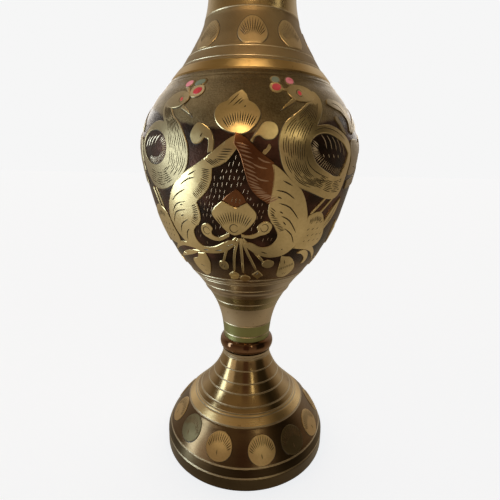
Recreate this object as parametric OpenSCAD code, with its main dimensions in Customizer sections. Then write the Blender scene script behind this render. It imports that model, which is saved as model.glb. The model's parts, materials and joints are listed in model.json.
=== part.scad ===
// Footed brass flower vase. Its bell foot unscrews from the stem, and a loose ring covers the joint.
// Every piece is turned about the Z axis. The origin is the centre of the foot's rim, on the table.

/* [Overall] */
// Height from the table to the top of the mouth
overall_h = 305; // [300:1:320]
// Thickness of the cast and turned walls
wall = 2.2; // [1.9:0.1:2.5]
// Height that neighbouring castings overlap in a brazed lap
lap_h = 2.0; // [1.5:0.5:3]
// Facets round a full turn in a preview
preview_facets = 96; // [48:16:160]

/* [Foot] */
// Radius of the foot at the table
foot_r = 46.1; // [45:0.1:47]
// Height of the upright band round the foot's edge
foot_band_h = 6.3; // [5:0.1:7]
// Height of the flat top that the waist ring sits on
foot_h = 56.3; // [56:0.1:57]
// Radius of the foot at its narrow top
foot_top_r = 13.9; // [13.7:0.1:14.3]
// Width of the flat ring that stands on the table
foot_rim_w = 3.6; // [3:0.1:5]

/* [Screwed joint] */
// Pitch of the thread that holds the foot on
thread_pitch = 2.5; // [2:0.25:3]
// Mean radius of the thread on the stud
thread_r = 8.4; // [8:0.1:8.5]
// How far the thread's crests and roots stand from its mean radius
thread_rise = 0.6; // [0.4:0.1:0.6]
// Radial play between the stud's thread and the bush's
thread_play = 0.35; // [0.3:0.05:0.4]
// Outer radius of the bush that is brazed inside the foot
bush_r = 11.6; // [11.4:0.1:11.7]
// Length of the bush
bush_len = 15.8; // [14:0.1:17]
// Radius of the hole through the waist ring
ring_bore_r = 10.2; // [9.8:0.1:10.6]
// Largest radius of the waist ring
ring_r = 15.2; // [14.9:0.1:15.6]
// Gap left at each seat of the waist ring
seat_gap = 0.2; // [0.1:0.05:0.3]

/* [Stem and belly] */
// Height of the stem's lower end
stem_z = 64.0; // [63.8:0.1:64.4]
// Height of the seam between the stem and the belly
stem_seam_z = 104.9; // [104:0.1:106]
// Radius of the blind socket for the stud
socket_r = 10.4; // [10.2:0.1:10.6]
// Depth of that socket
socket_depth = 6; // [5:0.5:7]
// Thickness of the stem's closed floor above the socket
stem_floor = 3; // [2.5:0.5:4]
// Height of the rounded bottom inside the stem
stem_bowl_h = 6; // [5:0.5:7]
// Radius of the belly where it is widest
belly_r = 54.4; // [53.5:0.1:55.5]
// Height at which the belly is widest, where its halves meet
belly_z = 166; // [165:0.5:167]

/* [Shoulder, neck and mouth] */
// Height of the step where the shoulder ring starts
shoulder_z = 196.5; // [196:0.1:197]
// Height of the top of the shoulder ring
shoulder_top_z = 201.6; // [201:0.1:202]
// Radius of the neck where it is narrowest
neck_r = 20.7; // [20:0.1:21.5]
// Height of the seam between the neck and the mouth
neck_seam_z = 248; // [246:1:250]
// Height at which the straight bore of the throat starts
throat_z = 232; // [231:1:234]
// Radius of the middle of the mouth's rim
mouth_r = 40; // [38.5:0.5:41]
// Radius of the rim's rounded section
rim_bead_r = 2.5; // [2.2:0.1:3]

/* [Hidden] */
$fn = preview_facets;
curve_steps = 4;

bush_z = foot_h - seat_gap - bush_len;
stud_z = bush_z + 2;
stud_shank_z = foot_h + 1.2;
stud_shank_r = thread_r + 0.2;
thread_facets = 24;
thread_rings_a_turn = 6;
ring_z = foot_h + seat_gap;
ring_top_z = stem_z - seat_gap;
ring_bulge = 2.2;
stem_hollow_z = stem_z + socket_depth + stem_floor;
throat_r = neck_r - wall;
rim_z = overall_h - rim_bead_r;
rim_seat_z = rim_z - 1;

old_brass = "#8a6f3e";
bright_brass = "#c79a4f";
dark_brass = "#6b4a28";
pale_brass = "#b08d55";

// Curves. A curve's stations are [radius, height], and it passes smoothly through all of them.
function between(a, b, c, d, t) =
    (2 * b + (c - a) * t + (2 * a - 5 * b + 4 * c - d) * t * t + (3 * b - a - 3 * c + d) * t * t * t) / 2;
function smooth(p) = [
    for (i = [0:len(p) - 2])
        for (j = [0:curve_steps - 1])
            between(p[max(i - 1, 0)], p[i], p[i + 1], p[min(i + 2, len(p) - 1)], j / curve_steps),
    p[len(p) - 1]
];
// A curve moved inwards, square to itself, by one wall thickness
function inward(p) = [
    for (i = [0:len(p) - 1])
        let (d = p[min(i + 1, len(p) - 1)] - p[max(i - 1, 0)])
            p[i] + wall * [-d[1], d[0]] / norm(d)
];
function reversed(p) = [for (i = [len(p) - 1:-1:0]) p[i]];
function span(p, z0, z1) = [for (q = p) if (q[1] > z0 && q[1] < z1) q];
function radius_at(p, z) = lookup(z, [for (q = p) [q[1], q[0]]]);

foot_side = smooth([
    [foot_r, foot_band_h + 1.2], [foot_r - 1.7, 11.6], [40.6, 18], [35.5, 24], [29.3, 30],
    [23.4, 36], [18.7, 42], [15.4, 48], [foot_top_r - 0.3, 53], [foot_top_r, foot_h]
]);
body_side = smooth([
    [13.1, stem_z], [13.3, 68], [14.5, 76], [17.0, 84], [21.2, 92], [26.6, 100], [30.7, stem_seam_z],
    [36.2, 112], [41.1, 120], [44.9, 128], [48.0, 136], [50.3, 144], [52.3, 152],
    [belly_r - 0.5, 160], [belly_r, belly_z], [belly_r - 0.7, 172], [50.9, 180], [46.4, 188],
    [43.1, 192], [38.9, shoulder_z], [34.4, 200]
]);
neck_side = smooth([
    [38.4, 196], [34.9, shoulder_top_z], [30.9, 208], [26.2, 216], [22.9, 224],
    [neck_r + 0.4, 232], [neck_r, 240], [neck_r, neck_seam_z], [21.6, 257], [24.2, 268],
    [28.4, 280], [34.2, 291.5], [mouth_r, rim_z]
]);

// A turned wall between a curve and its inward copy, cut level at both ends
module turned_wall(side, z0, z1) {
    inside = inward(side);
    rotate_extrude()
        polygon(concat(
            [[radius_at(side, z0), z0]],
            span(side, z0, z1),
            [[radius_at(side, z1), z1], [radius_at(inside, z1), z1]],
            reversed(span(inside, z0, z1)),
            [[radius_at(inside, z0), z0]]
        ));
}
// The lip of a brazed lap: it stands on the lower casting, inside the upper one
module lap_lip(side, z) {
    translate([0, 0, z])
        difference() {
            cylinder(r = radius_at(side, z) - wall / 2, h = lap_h);
            cylinder(r = radius_at(side, z) - wall, h = lap_h);
        }
}
// The recess in the upper casting that takes the lip
module lap_recess(side, z) {
    translate([0, 0, z])
        cylinder(r = radius_at(side, z) - wall / 2, h = lap_h);
}
// A right-hand thread of rounded section
module helical_thread(r, z0, z1) {
    n = thread_facets;
    rings = ceil((z1 - z0) / thread_pitch * thread_rings_a_turn);
    points = [
        for (k = [0:rings])
            let (z = z0 + (z1 - z0) * k / rings)
                for (i = [0:n - 1])
                    let (a = 360 * i / n, q = r + thread_rise * cos(360 * z / thread_pitch - a))
                        [q * cos(a), q * sin(a), z]
    ];
    sides = [
        for (k = [0:rings - 1])
            for (i = [0:n - 1])
                let (a = k * n + i, b = k * n + (i + 1) % n)
                    each [[a, a + n, b], [b, a + n, b + n]]
    ];
    polyhedron(points, concat([[for (i = [0:n - 1]) i], [for (i = [n - 1:-1:0]) rings * n + i]], sides));
}

module foot_bell() {
    rim_in = foot_r - foot_rim_w;
    color(old_brass)
        difference() {
            rotate_extrude()
                polygon(concat(
                    [[rim_in, 0], [foot_r, 0], [foot_r, foot_band_h], [foot_r - 0.6, foot_band_h + 0.6]],
                    foot_side,
                    [[bush_r - 1, foot_h]],
                    reversed(span(inward(foot_side), foot_band_h, foot_h - 1)),
                    [[rim_in, foot_band_h - 1]]
                ));
            translate([0, 0, bush_z])
                cylinder(r = bush_r, h = foot_h);
        }
}

module foot_bush() {
    color(pale_brass)
        difference() {
            translate([0, 0, bush_z])
                cylinder(r = bush_r, h = bush_len);
            helical_thread(thread_r + thread_play, bush_z - 1, bush_z + bush_len + 1);
        }
}

module waist_ring() {
    mid = (ring_z + ring_top_z) / 2;
    half = (ring_top_z - ring_z) / 2;
    color(dark_brass)
        rotate_extrude()
            polygon(concat(
                [[ring_bore_r, ring_z]],
                [for (a = [-90:15:90]) [ring_r - ring_bulge * (1 - cos(a)), mid + half * sin(a)]],
                [[ring_bore_r, ring_top_z]]
            ));
}

module threaded_stud() {
    color(pale_brass)
        union() {
            helical_thread(thread_r, stud_z, stud_shank_z);
            translate([0, 0, stud_shank_z - 0.5])
                cylinder(r = stud_shank_r, h = stem_z - stud_shank_z + 1);
            translate([0, 0, stem_z])
                cylinder(r = socket_r, h = socket_depth);
        }
}

module stem_cup() {
    bowl_z = stem_hollow_z + stem_bowl_h;
    bowl_r = radius_at(inward(body_side), bowl_z);
    bowl = [for (a = [0:10:90]) [bowl_r * sin(a), bowl_z - stem_bowl_h * cos(a)]];
    color(old_brass)
        union() {
            turned_wall(body_side, bowl_z, stem_seam_z);
            lap_lip(body_side, stem_seam_z);
            rotate_extrude()
                polygon(concat(
                    [[socket_r, stem_z], body_side[0]],
                    span(body_side, stem_z, bowl_z),
                    [[radius_at(body_side, bowl_z), bowl_z]],
                    reversed(bowl),
                    [[0, stem_hollow_z - stem_floor], [socket_r, stem_hollow_z - stem_floor]]
                ));
        }
}

module belly_lower() {
    color(bright_brass)
        difference() {
            union() {
                turned_wall(body_side, stem_seam_z, belly_z);
                lap_lip(body_side, belly_z);
            }
            lap_recess(body_side, stem_seam_z);
        }
}

module belly_upper() {
    color(bright_brass)
        difference() {
            union() {
                turned_wall(body_side, belly_z, shoulder_z);
                lap_lip(body_side, shoulder_z);
            }
            lap_recess(body_side, belly_z);
        }
}

module shoulder_ring() {
    seat_r = radius_at(body_side, shoulder_z);
    top_r = radius_at(neck_side, shoulder_top_z) + 0.4;
    color(pale_brass)
        difference() {
            rotate_extrude()
                polygon([
                    [top_r - 2 * wall, shoulder_z], [seat_r, shoulder_z], [seat_r, shoulder_z + 0.8],
                    [top_r + 0.8, shoulder_top_z - 0.8], [top_r, shoulder_top_z],
                    [top_r - 2 * wall, shoulder_top_z]
                ]);
            lap_recess(body_side, shoulder_z);
        }
}

module neck() {
    inside = inward(neck_side);
    color(old_brass)
        union() {
            rotate_extrude()
                polygon(concat(
                    [[radius_at(neck_side, shoulder_top_z), shoulder_top_z]],
                    span(neck_side, shoulder_top_z, neck_seam_z),
                    [[radius_at(neck_side, neck_seam_z), neck_seam_z]],
                    [[throat_r, neck_seam_z], [throat_r, throat_z]],
                    reversed(span(inside, shoulder_top_z, throat_z - 1)),
                    [[radius_at(inside, shoulder_top_z), shoulder_top_z]]
                ));
            lap_lip(neck_side, neck_seam_z);
        }
}

module mouth_flare() {
    color(old_brass)
        difference() {
            turned_wall(neck_side, neck_seam_z, rim_seat_z);
            lap_recess(neck_side, neck_seam_z);
        }
}

module rim_bead() {
    low = asin((rim_z - rim_seat_z) / rim_bead_r);
    color(bright_brass)
        rotate_extrude()
            polygon([
                for (i = [0:14])
                    let (a = -low + (180 + 2 * low) * i / 14)
                        [mouth_r + rim_bead_r * cos(a), rim_z + rim_bead_r * sin(a)]
            ]);
}

foot_bell();
foot_bush();
waist_ring();
threaded_stud();
stem_cup();
belly_lower();
belly_upper();
shoulder_ring();
neck();
mouth_flare();
rim_bead();
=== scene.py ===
import json
import math
import random

import bpy
from mathutils import Matrix, Vector
from mathutils.bvhtree import BVHTree
from mathutils.geometry import delaunay_2d_cdt

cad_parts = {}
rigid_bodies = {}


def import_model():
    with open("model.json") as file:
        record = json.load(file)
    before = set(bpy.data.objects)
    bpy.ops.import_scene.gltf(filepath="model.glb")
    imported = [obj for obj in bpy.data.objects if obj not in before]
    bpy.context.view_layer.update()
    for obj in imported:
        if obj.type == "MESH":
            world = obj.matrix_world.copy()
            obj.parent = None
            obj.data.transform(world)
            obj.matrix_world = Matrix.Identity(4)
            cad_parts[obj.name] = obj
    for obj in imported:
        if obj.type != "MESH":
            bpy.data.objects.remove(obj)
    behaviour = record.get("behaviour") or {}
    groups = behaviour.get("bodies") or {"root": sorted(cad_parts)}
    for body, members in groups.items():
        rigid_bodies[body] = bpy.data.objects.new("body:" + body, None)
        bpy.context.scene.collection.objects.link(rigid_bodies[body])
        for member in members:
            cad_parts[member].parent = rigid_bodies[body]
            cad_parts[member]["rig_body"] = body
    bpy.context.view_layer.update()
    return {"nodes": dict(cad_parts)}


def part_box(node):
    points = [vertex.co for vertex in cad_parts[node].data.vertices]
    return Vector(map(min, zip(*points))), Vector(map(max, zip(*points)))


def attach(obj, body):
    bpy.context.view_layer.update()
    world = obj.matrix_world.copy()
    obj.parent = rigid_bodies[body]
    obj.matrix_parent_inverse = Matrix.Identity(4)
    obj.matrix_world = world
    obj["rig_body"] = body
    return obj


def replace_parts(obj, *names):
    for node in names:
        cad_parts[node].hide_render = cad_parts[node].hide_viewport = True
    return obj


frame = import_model()
bpy.context.scene.view_settings.view_transform = "Standard"

MM = 0.001

# Turned skins
SEGMENTS = 240  # facets round each skin
SKIN_STEP = 0.7 * MM  # spacing of the rings of points outside
INNER_STEP = 1.5 * MM  # the same inside
CURVE_STEP = 0.5 * MM  # spacing along a wall that carries engraving
LAP = 2 * MM  # brazed pieces lap this far inside each other

# Engraving. What is given with MM is in metres, and the other lengths are in mm.
GROUND_DROP = 0.35 * MM  # the engraved ground lies this far below the CAD surface
BEVEL = 0.16 * MM  # the edge of raised work lies this far below its top
BURIED = 0.3 * MM  # relief pieces reach this far into the skin below them
RELIEF = 0.48  # height of most raised work
CUFF_TOP = 0.52  # height of the cuff, whose dark red colour is a painted reflection
BOLD = 0.64  # width of the widest cuts
TOP_INSET = 0.24  # raised work is flat on top from this far inside its edge
EDGE_CLEAR = 0.2  # points of that flat top keep this far from every edge
CUT_CLEAR = 0.62  # a cut keeps this share of its width away from every edge
GRID_PITCH = 2.6  # spacing of the points that keep a wide top round
GRID_CLEAR = 0.7  # and how far they keep from everything else
FLAT_SCALE = 0.9495  # millimetres along the belly's widest circle for one degree

# Colours of the surroundings, by height of view from straight down (0) to straight up (1)
BACKDROP = 0.99  # brightness of the white behind the object
ROOM = (
    (0.0, (0.06, 0.045, 0.03)),
    (0.035, (0.1, 0.08, 0.055)),
    (0.12, (0.47, 0.39, 0.27)),
    (0.34, (0.38, 0.31, 0.21)),
    (0.5, (0.25, 0.18, 0.12)),
    (0.7, (0.17, 0.125, 0.075)),
    (0.88, (0.29, 0.205, 0.108)),
    (1.0, (0.07, 0.05, 0.028)),
)
PERSON = (0.11, 0.055, 0.035)
DOORWAY = (0.02, 0.016, 0.009)
BACK_WALL = (0.62, 0.565, 0.49)


# ---------------------------------------------------------------- camera, light and floor
def make_camera():
    """The photo's own camera, as recovered from the vase's rims and rings."""
    camera_data = bpy.data.cameras.new("camera")
    camera_data.sensor_width = 36.0
    camera_data.lens = 26.07
    camera_data.clip_start = 0.01
    camera = bpy.data.objects.new("camera", camera_data)
    bpy.context.scene.collection.objects.link(camera)
    pitch = math.radians(90 - 13.24)
    roll = math.radians(1.08)
    camera.matrix_world = (
        Matrix.Translation((1.08 * MM, -195 * MM, 159.2 * MM))
        @ Matrix.Rotation(pitch, 4, "X")
        @ Matrix.Rotation(roll, 4, "Z")
    )
    bpy.context.scene.camera = camera


def area_light(name, azimuth, elevation, distance, size, power, colour, glossy):
    """A soft box that faces the belly. Azimuth 0 is in front, and positive is to the right, both in degrees.
    Distance and size are in metres."""
    data = bpy.data.lights.new(name, "AREA")
    data.shape = "RECTANGLE"
    data.size, data.size_y = size
    data.energy = power
    data.color = colour
    light = bpy.data.objects.new(name, data)
    bpy.context.scene.collection.objects.link(light)
    a, e = math.radians(azimuth), math.radians(elevation)
    aim = Vector((0, 0, 0.15))
    away = Vector((math.sin(a) * math.cos(e), -math.cos(a) * math.cos(e), math.sin(e)))
    light.location = aim + away * distance
    light.rotation_euler = away.to_track_quat("Z", "Y").to_euler()
    light.visible_glossy = glossy
    light.visible_camera = False


def make_floor():
    """A plain pale floor. It glows, so that it is as light as the backdrop, and no brass mirrors it."""
    mesh = bpy.data.meshes.new("floor")
    half = 6.0
    corners = [(-half, -half, 0), (half, -half, 0), (half, half, 0), (-half, half, 0)]
    mesh.from_pydata(corners, [], [(0, 1, 2, 3)])
    floor = bpy.data.objects.new("floor", mesh)
    bpy.context.scene.collection.objects.link(floor)
    material = bpy.data.materials.new("floor_paint")
    material.use_nodes = True
    shader = material.node_tree.nodes["Principled BSDF"]
    shader.inputs["Base Color"].default_value = (0.6, 0.6, 0.6, 1)
    shader.inputs["Roughness"].default_value = 0.9
    shader.inputs["Specular IOR Level"].default_value = 0.1
    shader.inputs["Emission Color"].default_value = (0.913, 0.945, 0.985, 1)
    shader.inputs["Emission Strength"].default_value = BACKDROP * 0.852
    mesh.materials.append(material)
    floor.visible_glossy = False
    floor.visible_diffuse = False
    floor.visible_shadow = False


# ---------------------------------------------------------------- materials
class Nodes:
    """Adds nodes to a tree, and wires them together."""

    def __init__(self, tree):
        self.tree = tree

    def node(self, kind, **values):
        made = self.tree.nodes.new(kind)
        for key, value in values.items():
            setattr(made, key, value)
        return made

    def link(self, out, socket):
        self.tree.links.new(out, socket)

    def ramp(self, fac, stops):
        made = self.node("ShaderNodeValToRGB")
        ramp = made.color_ramp
        while len(ramp.elements) < len(stops):
            ramp.elements.new(0.5)
        for element, (place, colour) in zip(ramp.elements, stops):
            element.position = place
            element.color = (*colour, 1)
        self.link(fac, made.inputs["Fac"])
        return made.outputs["Color"]

    def math(self, operation, a, b):
        made = self.node("ShaderNodeMath", operation=operation)
        for socket, value in zip(made.inputs, (a, b)):
            if isinstance(value, (int, float)):
                socket.default_value = value
            else:
                self.link(value, socket)
        return made.outputs[0]

    def mix(self, fac, a, b):
        made = self.node("ShaderNodeMix", data_type="RGBA")
        self.link(fac, made.inputs["Factor"])
        for socket, value in ((made.inputs["A"], a), (made.inputs["B"], b)):
            if isinstance(value, tuple):
                socket.default_value = (*value, 1)
            else:
                self.link(value, socket)
        return made.outputs["Result"]

    def level(self, fac, low, high, start=0.0, stop=1.0):
        made = self.node("ShaderNodeMapRange")
        made.inputs["From Min"].default_value = start
        made.inputs["From Max"].default_value = stop
        made.inputs["To Min"].default_value = low
        made.inputs["To Max"].default_value = high
        self.link(fac, made.inputs["Value"])
        return made.outputs["Result"]

    def within(self, fac, rise, fall, full=1.0):
        """0 outside and full inside a range that rises and falls over the two given stretches."""
        return self.math("MULTIPLY", self.level(fac, 0, full, *rise), self.level(fac, 1, 0, *fall))


class Recipe(Nodes):
    """The nodes of a new material, round its one principled shader."""

    def __init__(self, name):
        self.material = bpy.data.materials.new(name)
        self.material.use_nodes = True
        super().__init__(self.material.node_tree)
        self.shader = self.tree.nodes["Principled BSDF"]
        self.place = self.node("ShaderNodeTexCoord").outputs["Object"]

    def scaled(self, x, y, z):
        mapping = self.node("ShaderNodeMapping")
        mapping.inputs["Scale"].default_value = (x, y, z)
        self.link(self.place, mapping.inputs["Vector"])
        return mapping.outputs["Vector"]

    def noise(self, scale, detail, vector=None):
        made = self.node("ShaderNodeTexNoise")
        made.inputs["Scale"].default_value = scale
        made.inputs["Detail"].default_value = detail
        made.inputs["Roughness"].default_value = 0.55
        self.link(vector or self.place, made.inputs["Vector"])
        return made.outputs["Fac"]

    def bump(self, height, distance, strength, below=None):
        made = self.node("ShaderNodeBump")
        made.inputs["Strength"].default_value = strength
        made.inputs["Distance"].default_value = distance
        self.link(height, made.inputs["Height"])
        if below is not None:
            self.link(below, made.inputs["Normal"])
        return made.outputs["Normal"]


def make_world():
    """White behind the object. Polished brass mirrors a dim warm room instead, with these shapes in it:
    someone dark in front, a dark doorway and corner on the right, and a pale wall behind. Azimuths are in
    radians."""
    world = bpy.data.worlds.new("studio")
    bpy.context.scene.world = world
    world.use_nodes = True
    world.node_tree.nodes.clear()
    nodes = Nodes(world.node_tree)
    parts = nodes.node("ShaderNodeSeparateXYZ")
    nodes.link(nodes.node("ShaderNodeTexCoord").outputs["Generated"], parts.inputs[0])
    x, y, z = parts.outputs
    azimuth = nodes.math("ARCTAN2", x, nodes.math("MULTIPLY", y, -1))
    sideways = nodes.math("ABSOLUTE", azimuth, 0)
    upright = nodes.within(z, (-0.5, -0.25), (0.64, 0.82))
    shapes = (
        (nodes.level(sideways, 1, 0, 0.15, 0.25), upright, PERSON),
        (nodes.within(azimuth, (0.68, 0.8), (1.35, 1.55), 0.9), upright, DOORWAY),
        (
            nodes.within(azimuth, (1.05, 1.25), (1.6, 1.8)),
            nodes.within(z, (0.2, 0.45), (0.86, 0.95), 0.85),
            DOORWAY,
        ),
        (nodes.level(sideways, 0, 1, 1.7, 2.3), nodes.within(z, (-0.25, 0.1), (0.6, 0.76)), BACK_WALL),
    )
    colour = nodes.ramp(nodes.level(z, 0, 1, -1, 1), ROOM)
    for across, up, shade in shapes:
        colour = nodes.mix(nodes.math("MULTIPLY", across, up), colour, shade)
    seen = nodes.node("ShaderNodeBackground")
    seen.inputs["Color"].default_value = (0.93, 0.93, 0.93, 1)
    seen.inputs["Strength"].default_value = BACKDROP
    room = nodes.node("ShaderNodeBackground")
    nodes.link(colour, room.inputs["Color"])
    mix = nodes.node("ShaderNodeMixShader")
    nodes.link(nodes.node("ShaderNodeLightPath").outputs["Is Camera Ray"], mix.inputs[0])
    nodes.link(room.outputs[0], mix.inputs[1])
    nodes.link(seen.outputs[0], mix.inputs[2])
    nodes.link(mix.outputs[0], nodes.node("ShaderNodeOutputWorld").inputs[0])


def turned_brass(name, dark, light, rough, line_depth=0.02):
    """Brass from the lathe: fine lines round the axis, and soft clouds of tarnish."""
    recipe = Recipe(name)
    recipe.shader.inputs["Metallic"].default_value = 1.0
    clouds = recipe.noise(28, 4)
    lines = recipe.noise(1.0, 2, recipe.scaled(6, 6, 2600))
    specks = recipe.noise(420, 2)
    tone = recipe.math("ADD", recipe.math("MULTIPLY", clouds, 0.75), recipe.math("MULTIPLY", lines, 0.25))
    colour = recipe.ramp(tone, [(0.32, dark), (0.66, light)])
    spots = recipe.ramp(specks, [(0.25, (0.55, 0.5, 0.45)), (0.36, (1, 1, 1))])
    product = recipe.node("ShaderNodeMix", data_type="RGBA", blend_type="MULTIPLY")
    product.inputs["Factor"].default_value = 0.6
    recipe.link(colour, product.inputs["A"])
    recipe.link(spots, product.inputs["B"])
    recipe.link(product.outputs["Result"], recipe.shader.inputs["Base Color"])
    recipe.link(recipe.level(tone, rough[1], rough[0]), recipe.shader.inputs["Roughness"])
    recipe.link(recipe.bump(lines, line_depth * MM, 0.6), recipe.shader.inputs["Normal"])
    return recipe.material


def matte_ground(name, dark, light):
    """Ground between raised work, dulled with a fine punch."""
    recipe = Recipe(name)
    recipe.shader.inputs["Metallic"].default_value = 0.9
    grain = recipe.noise(1700, 2)
    clouds = recipe.noise(45, 4)
    colour = recipe.ramp(clouds, [(0.3, dark), (0.7, light)])
    recipe.link(colour, recipe.shader.inputs["Base Color"])
    recipe.link(recipe.level(grain, 0.38, 0.55), recipe.shader.inputs["Roughness"])
    recipe.link(recipe.bump(grain, 0.09 * MM, 0.7), recipe.shader.inputs["Normal"])
    return recipe.material


def cut_brass(name, dark, light, rough):
    """Raised engraved brass: hand-polished, a little uneven, with file marks and tarnish."""
    recipe = Recipe(name)
    recipe.shader.inputs["Metallic"].default_value = 1.0
    clouds = recipe.noise(70, 4)
    grain = recipe.noise(900, 3)
    tone = recipe.math("ADD", recipe.math("MULTIPLY", clouds, 0.7), recipe.math("MULTIPLY", grain, 0.3))
    recipe.link(recipe.ramp(tone, [(0.3, dark), (0.66, light)]), recipe.shader.inputs["Base Color"])
    recipe.link(recipe.level(tone, rough[1], rough[0]), recipe.shader.inputs["Roughness"])
    uneven = recipe.bump(clouds, 0.1 * MM, 0.15)
    recipe.link(recipe.bump(grain, 0.015 * MM, 0.4, uneven), recipe.shader.inputs["Normal"])
    return recipe.material


def enamel(name, dark, light, rough=0.22):
    """Lacquer or enamel melted into the ground: glossy, with a slight depth of colour."""
    recipe = Recipe(name)
    clouds = recipe.noise(120, 3)
    recipe.link(recipe.ramp(clouds, [(0.3, dark), (0.7, light)]), recipe.shader.inputs["Base Color"])
    recipe.link(recipe.level(clouds, rough, rough + 0.14), recipe.shader.inputs["Roughness"])
    recipe.shader.inputs["Coat Weight"].default_value = 0.4
    recipe.shader.inputs["Coat Roughness"].default_value = 0.12
    recipe.link(recipe.bump(recipe.noise(600, 2), 0.05 * MM, 0.5), recipe.shader.inputs["Normal"])
    return recipe.material


# ---------------------------------------------------------------- the turned form, from the frame
def add_piece(name, mesh, sharp, body, slot):
    """A piece that rides a CAD body. Edges steeper than sharp, in degrees, stay crisp."""
    mesh.shade_smooth()
    mesh.set_sharp_from_angle(angle=math.radians(sharp))
    piece = bpy.data.objects.new(name, mesh)
    bpy.context.scene.collection.objects.link(piece)
    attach(piece, body)
    return piece


def low_edge(node):
    """Height of a CAD node's lower edge, which is the seam with the piece below it."""
    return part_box(node)[0].z


def high_edge(node):
    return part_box(node)[1].z


def tree_of(node):
    mesh = frame["nodes"][node].data
    return BVHTree.FromPolygons([v.co for v in mesh.vertices], [tuple(p.vertices) for p in mesh.polygons])


def radius(tree, z, outside):
    """Radius of a CAD wall at a height, from outside or from the axis, or None where there is no wall."""
    if outside:
        hit = tree.ray_cast(Vector((1, 0, z)), Vector((-1, 0, 0)))[0]
    else:
        hit = tree.ray_cast(Vector((0, 0, z)), Vector((1, 0, 0)))[0]
    return None if hit is None else hit.x


def curve_of(node, z0, z1, step, outside=True):
    """Points (radius, z) along a CAD wall between two heights, a step apart."""
    tree = tree_of(node)
    count = max(2, round((z1 - z0) / step))
    inset = 0.02 * MM
    points = []
    for i in range(count + 1):
        z = z0 + (z1 - z0) * i / count
        probe = min(max(z, z0 + inset), z1 - inset)
        r = radius(tree, probe, outside)
        if r is not None:
            points.append((r, z))
    return points


def lathe(name, outline, material_at, body, node, slot):
    """A closed ring of outline points (radius, z) turned into a solid that replaces a CAD node."""
    count = len(outline)
    vertices, faces = [], []
    for i in range(SEGMENTS):
        a = 2 * math.pi * i / SEGMENTS
        vertices += [(r * math.cos(a), r * math.sin(a), z) for r, z in outline]
    for i in range(SEGMENTS):
        here, there = i * count, (i + 1) % SEGMENTS * count
        for k in range(count):
            m = (k + 1) % count
            faces.append((here + k, there + k, there + m, here + m))
    mesh = bpy.data.meshes.new(name)
    mesh.from_pydata(vertices, [], faces)
    names, zones = [], []
    for k in range(count):
        m = (k + 1) % count
        z = (outline[k][1] + outline[m][1]) / 2
        material = material_at(z, k)
        if material not in names:
            names.append(material)
        zones.append(names.index(material))
    for material in names:
        mesh.materials.append(MATERIAL[material])
    for i, face in enumerate(mesh.polygons):
        face.material_index = zones[i % count]
    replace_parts(add_piece(name, mesh, 28, body, slot), node)


def cut_lines(curve, lines):
    """Adds turned lines to an outer curve. A line is (height, width, depth) in mm. Below 0 it is a bead."""
    out = []
    for r, z in curve:
        if all(abs(z / MM - at) > width / 2 for at, width, _ in lines):
            out.append((r, z))
    for at, width, depth in lines:
        steps = 8 if width > 2 else 4  # a bead is rounder than a scratch
        for i in range(steps + 1):
            t = i / steps
            z = (at - width / 2 + width * t) * MM
            if not curve[0][1] <= z <= curve[-1][1]:
                continue
            out.append((interpolate(curve, z) - depth * MM * math.sin(math.pi * t), z))
    return sorted(out, key=lambda p: p[1])


def interpolate(curve, z):
    for (r0, z0), (r1, z1) in zip(curve, curve[1:]):
        if z0 <= z <= z1:
            return r0 + (r1 - r0) * (z - z0) / max(z1 - z0, 1e-9)
    return curve[0][0] if z < curve[0][1] else curve[-1][0]


def in_line(z, lines):
    """Whether a height lies in a cut line, which is bright. Wide lines keep the colour of their zone."""
    return any(abs(z / MM - at) < width / 2 and width < 1.2 for at, width, _ in lines)


def turned_skin(node, end, body, slot, zones, lines, drop=None, lap=0.0, floor=()):
    """Skins a turned CAD shell up to height end: its outside with cut lines, and its inside as it is.
    A zone is (upper limit in mm, material). A floor is the outline that closes the bottom inside."""
    z0 = low_edge(node)
    outer = curve_of(node, z0, end, SKIN_STEP)
    if drop:
        outer = [(r - drop(z), z) for r, z in outer]
    outer = cut_lines(outer, lines)
    start = floor[0][1] + 0.1 * MM if floor else z0 + lap
    inner = curve_of(node, start, end, INNER_STEP, outside=False)
    if lap:
        inner.insert(0, (inner[0][0], z0))
    outline = outer + inner[::-1] + list(floor)

    def material_at(z, k):
        if k >= len(outer) - 1:
            return "inner"
        if in_line(z, lines):
            return "line"
        for limit, material in zones:
            if z / MM < limit:
                return material
        return zones[-1][1]

    lathe(node + "_skin", outline, material_at, body, node, slot)


# ---------------------------------------------------------------- raised work on a turned surface
class Surface:
    """Places points by angle from the front, in degrees, and by length along the wall, in mm."""

    def __init__(self, curve, stretch=1.0):
        self.curve = curve
        self.stretch = stretch
        self.length = [0.0]
        for (r0, z0), (r1, z1) in zip(curve, curve[1:]):
            self.length.append(self.length[-1] + math.hypot(r1 - r0, z1 - z0))

    def along(self, s):
        s = min(max(s, 0.0), self.length[-1])
        low, high = 0, len(self.length) - 2
        while low < high:
            mid = (low + high + 1) // 2
            if self.length[mid] <= s:
                low = mid
            else:
                high = mid - 1
        t = (s - self.length[low]) / (self.length[low + 1] - self.length[low])
        (r0, z0), (r1, z1) = self.curve[low], self.curve[low + 1]
        return r0 + (r1 - r0) * t, z0 + (z1 - z0) * t

    def at(self, degrees, s_mm, height):
        s = s_mm * MM
        r, z = self.along(s)
        r0, z0 = self.along(s - 1.5 * MM)
        r1, z1 = self.along(s + 1.5 * MM)
        run = math.hypot(r1 - r0, z1 - z0)
        r += height * (z1 - z0) / run
        z -= height * (r1 - r0) / run
        a = math.radians(degrees * self.stretch)
        return Vector((r * math.sin(a), -r * math.cos(a), z))


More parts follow.
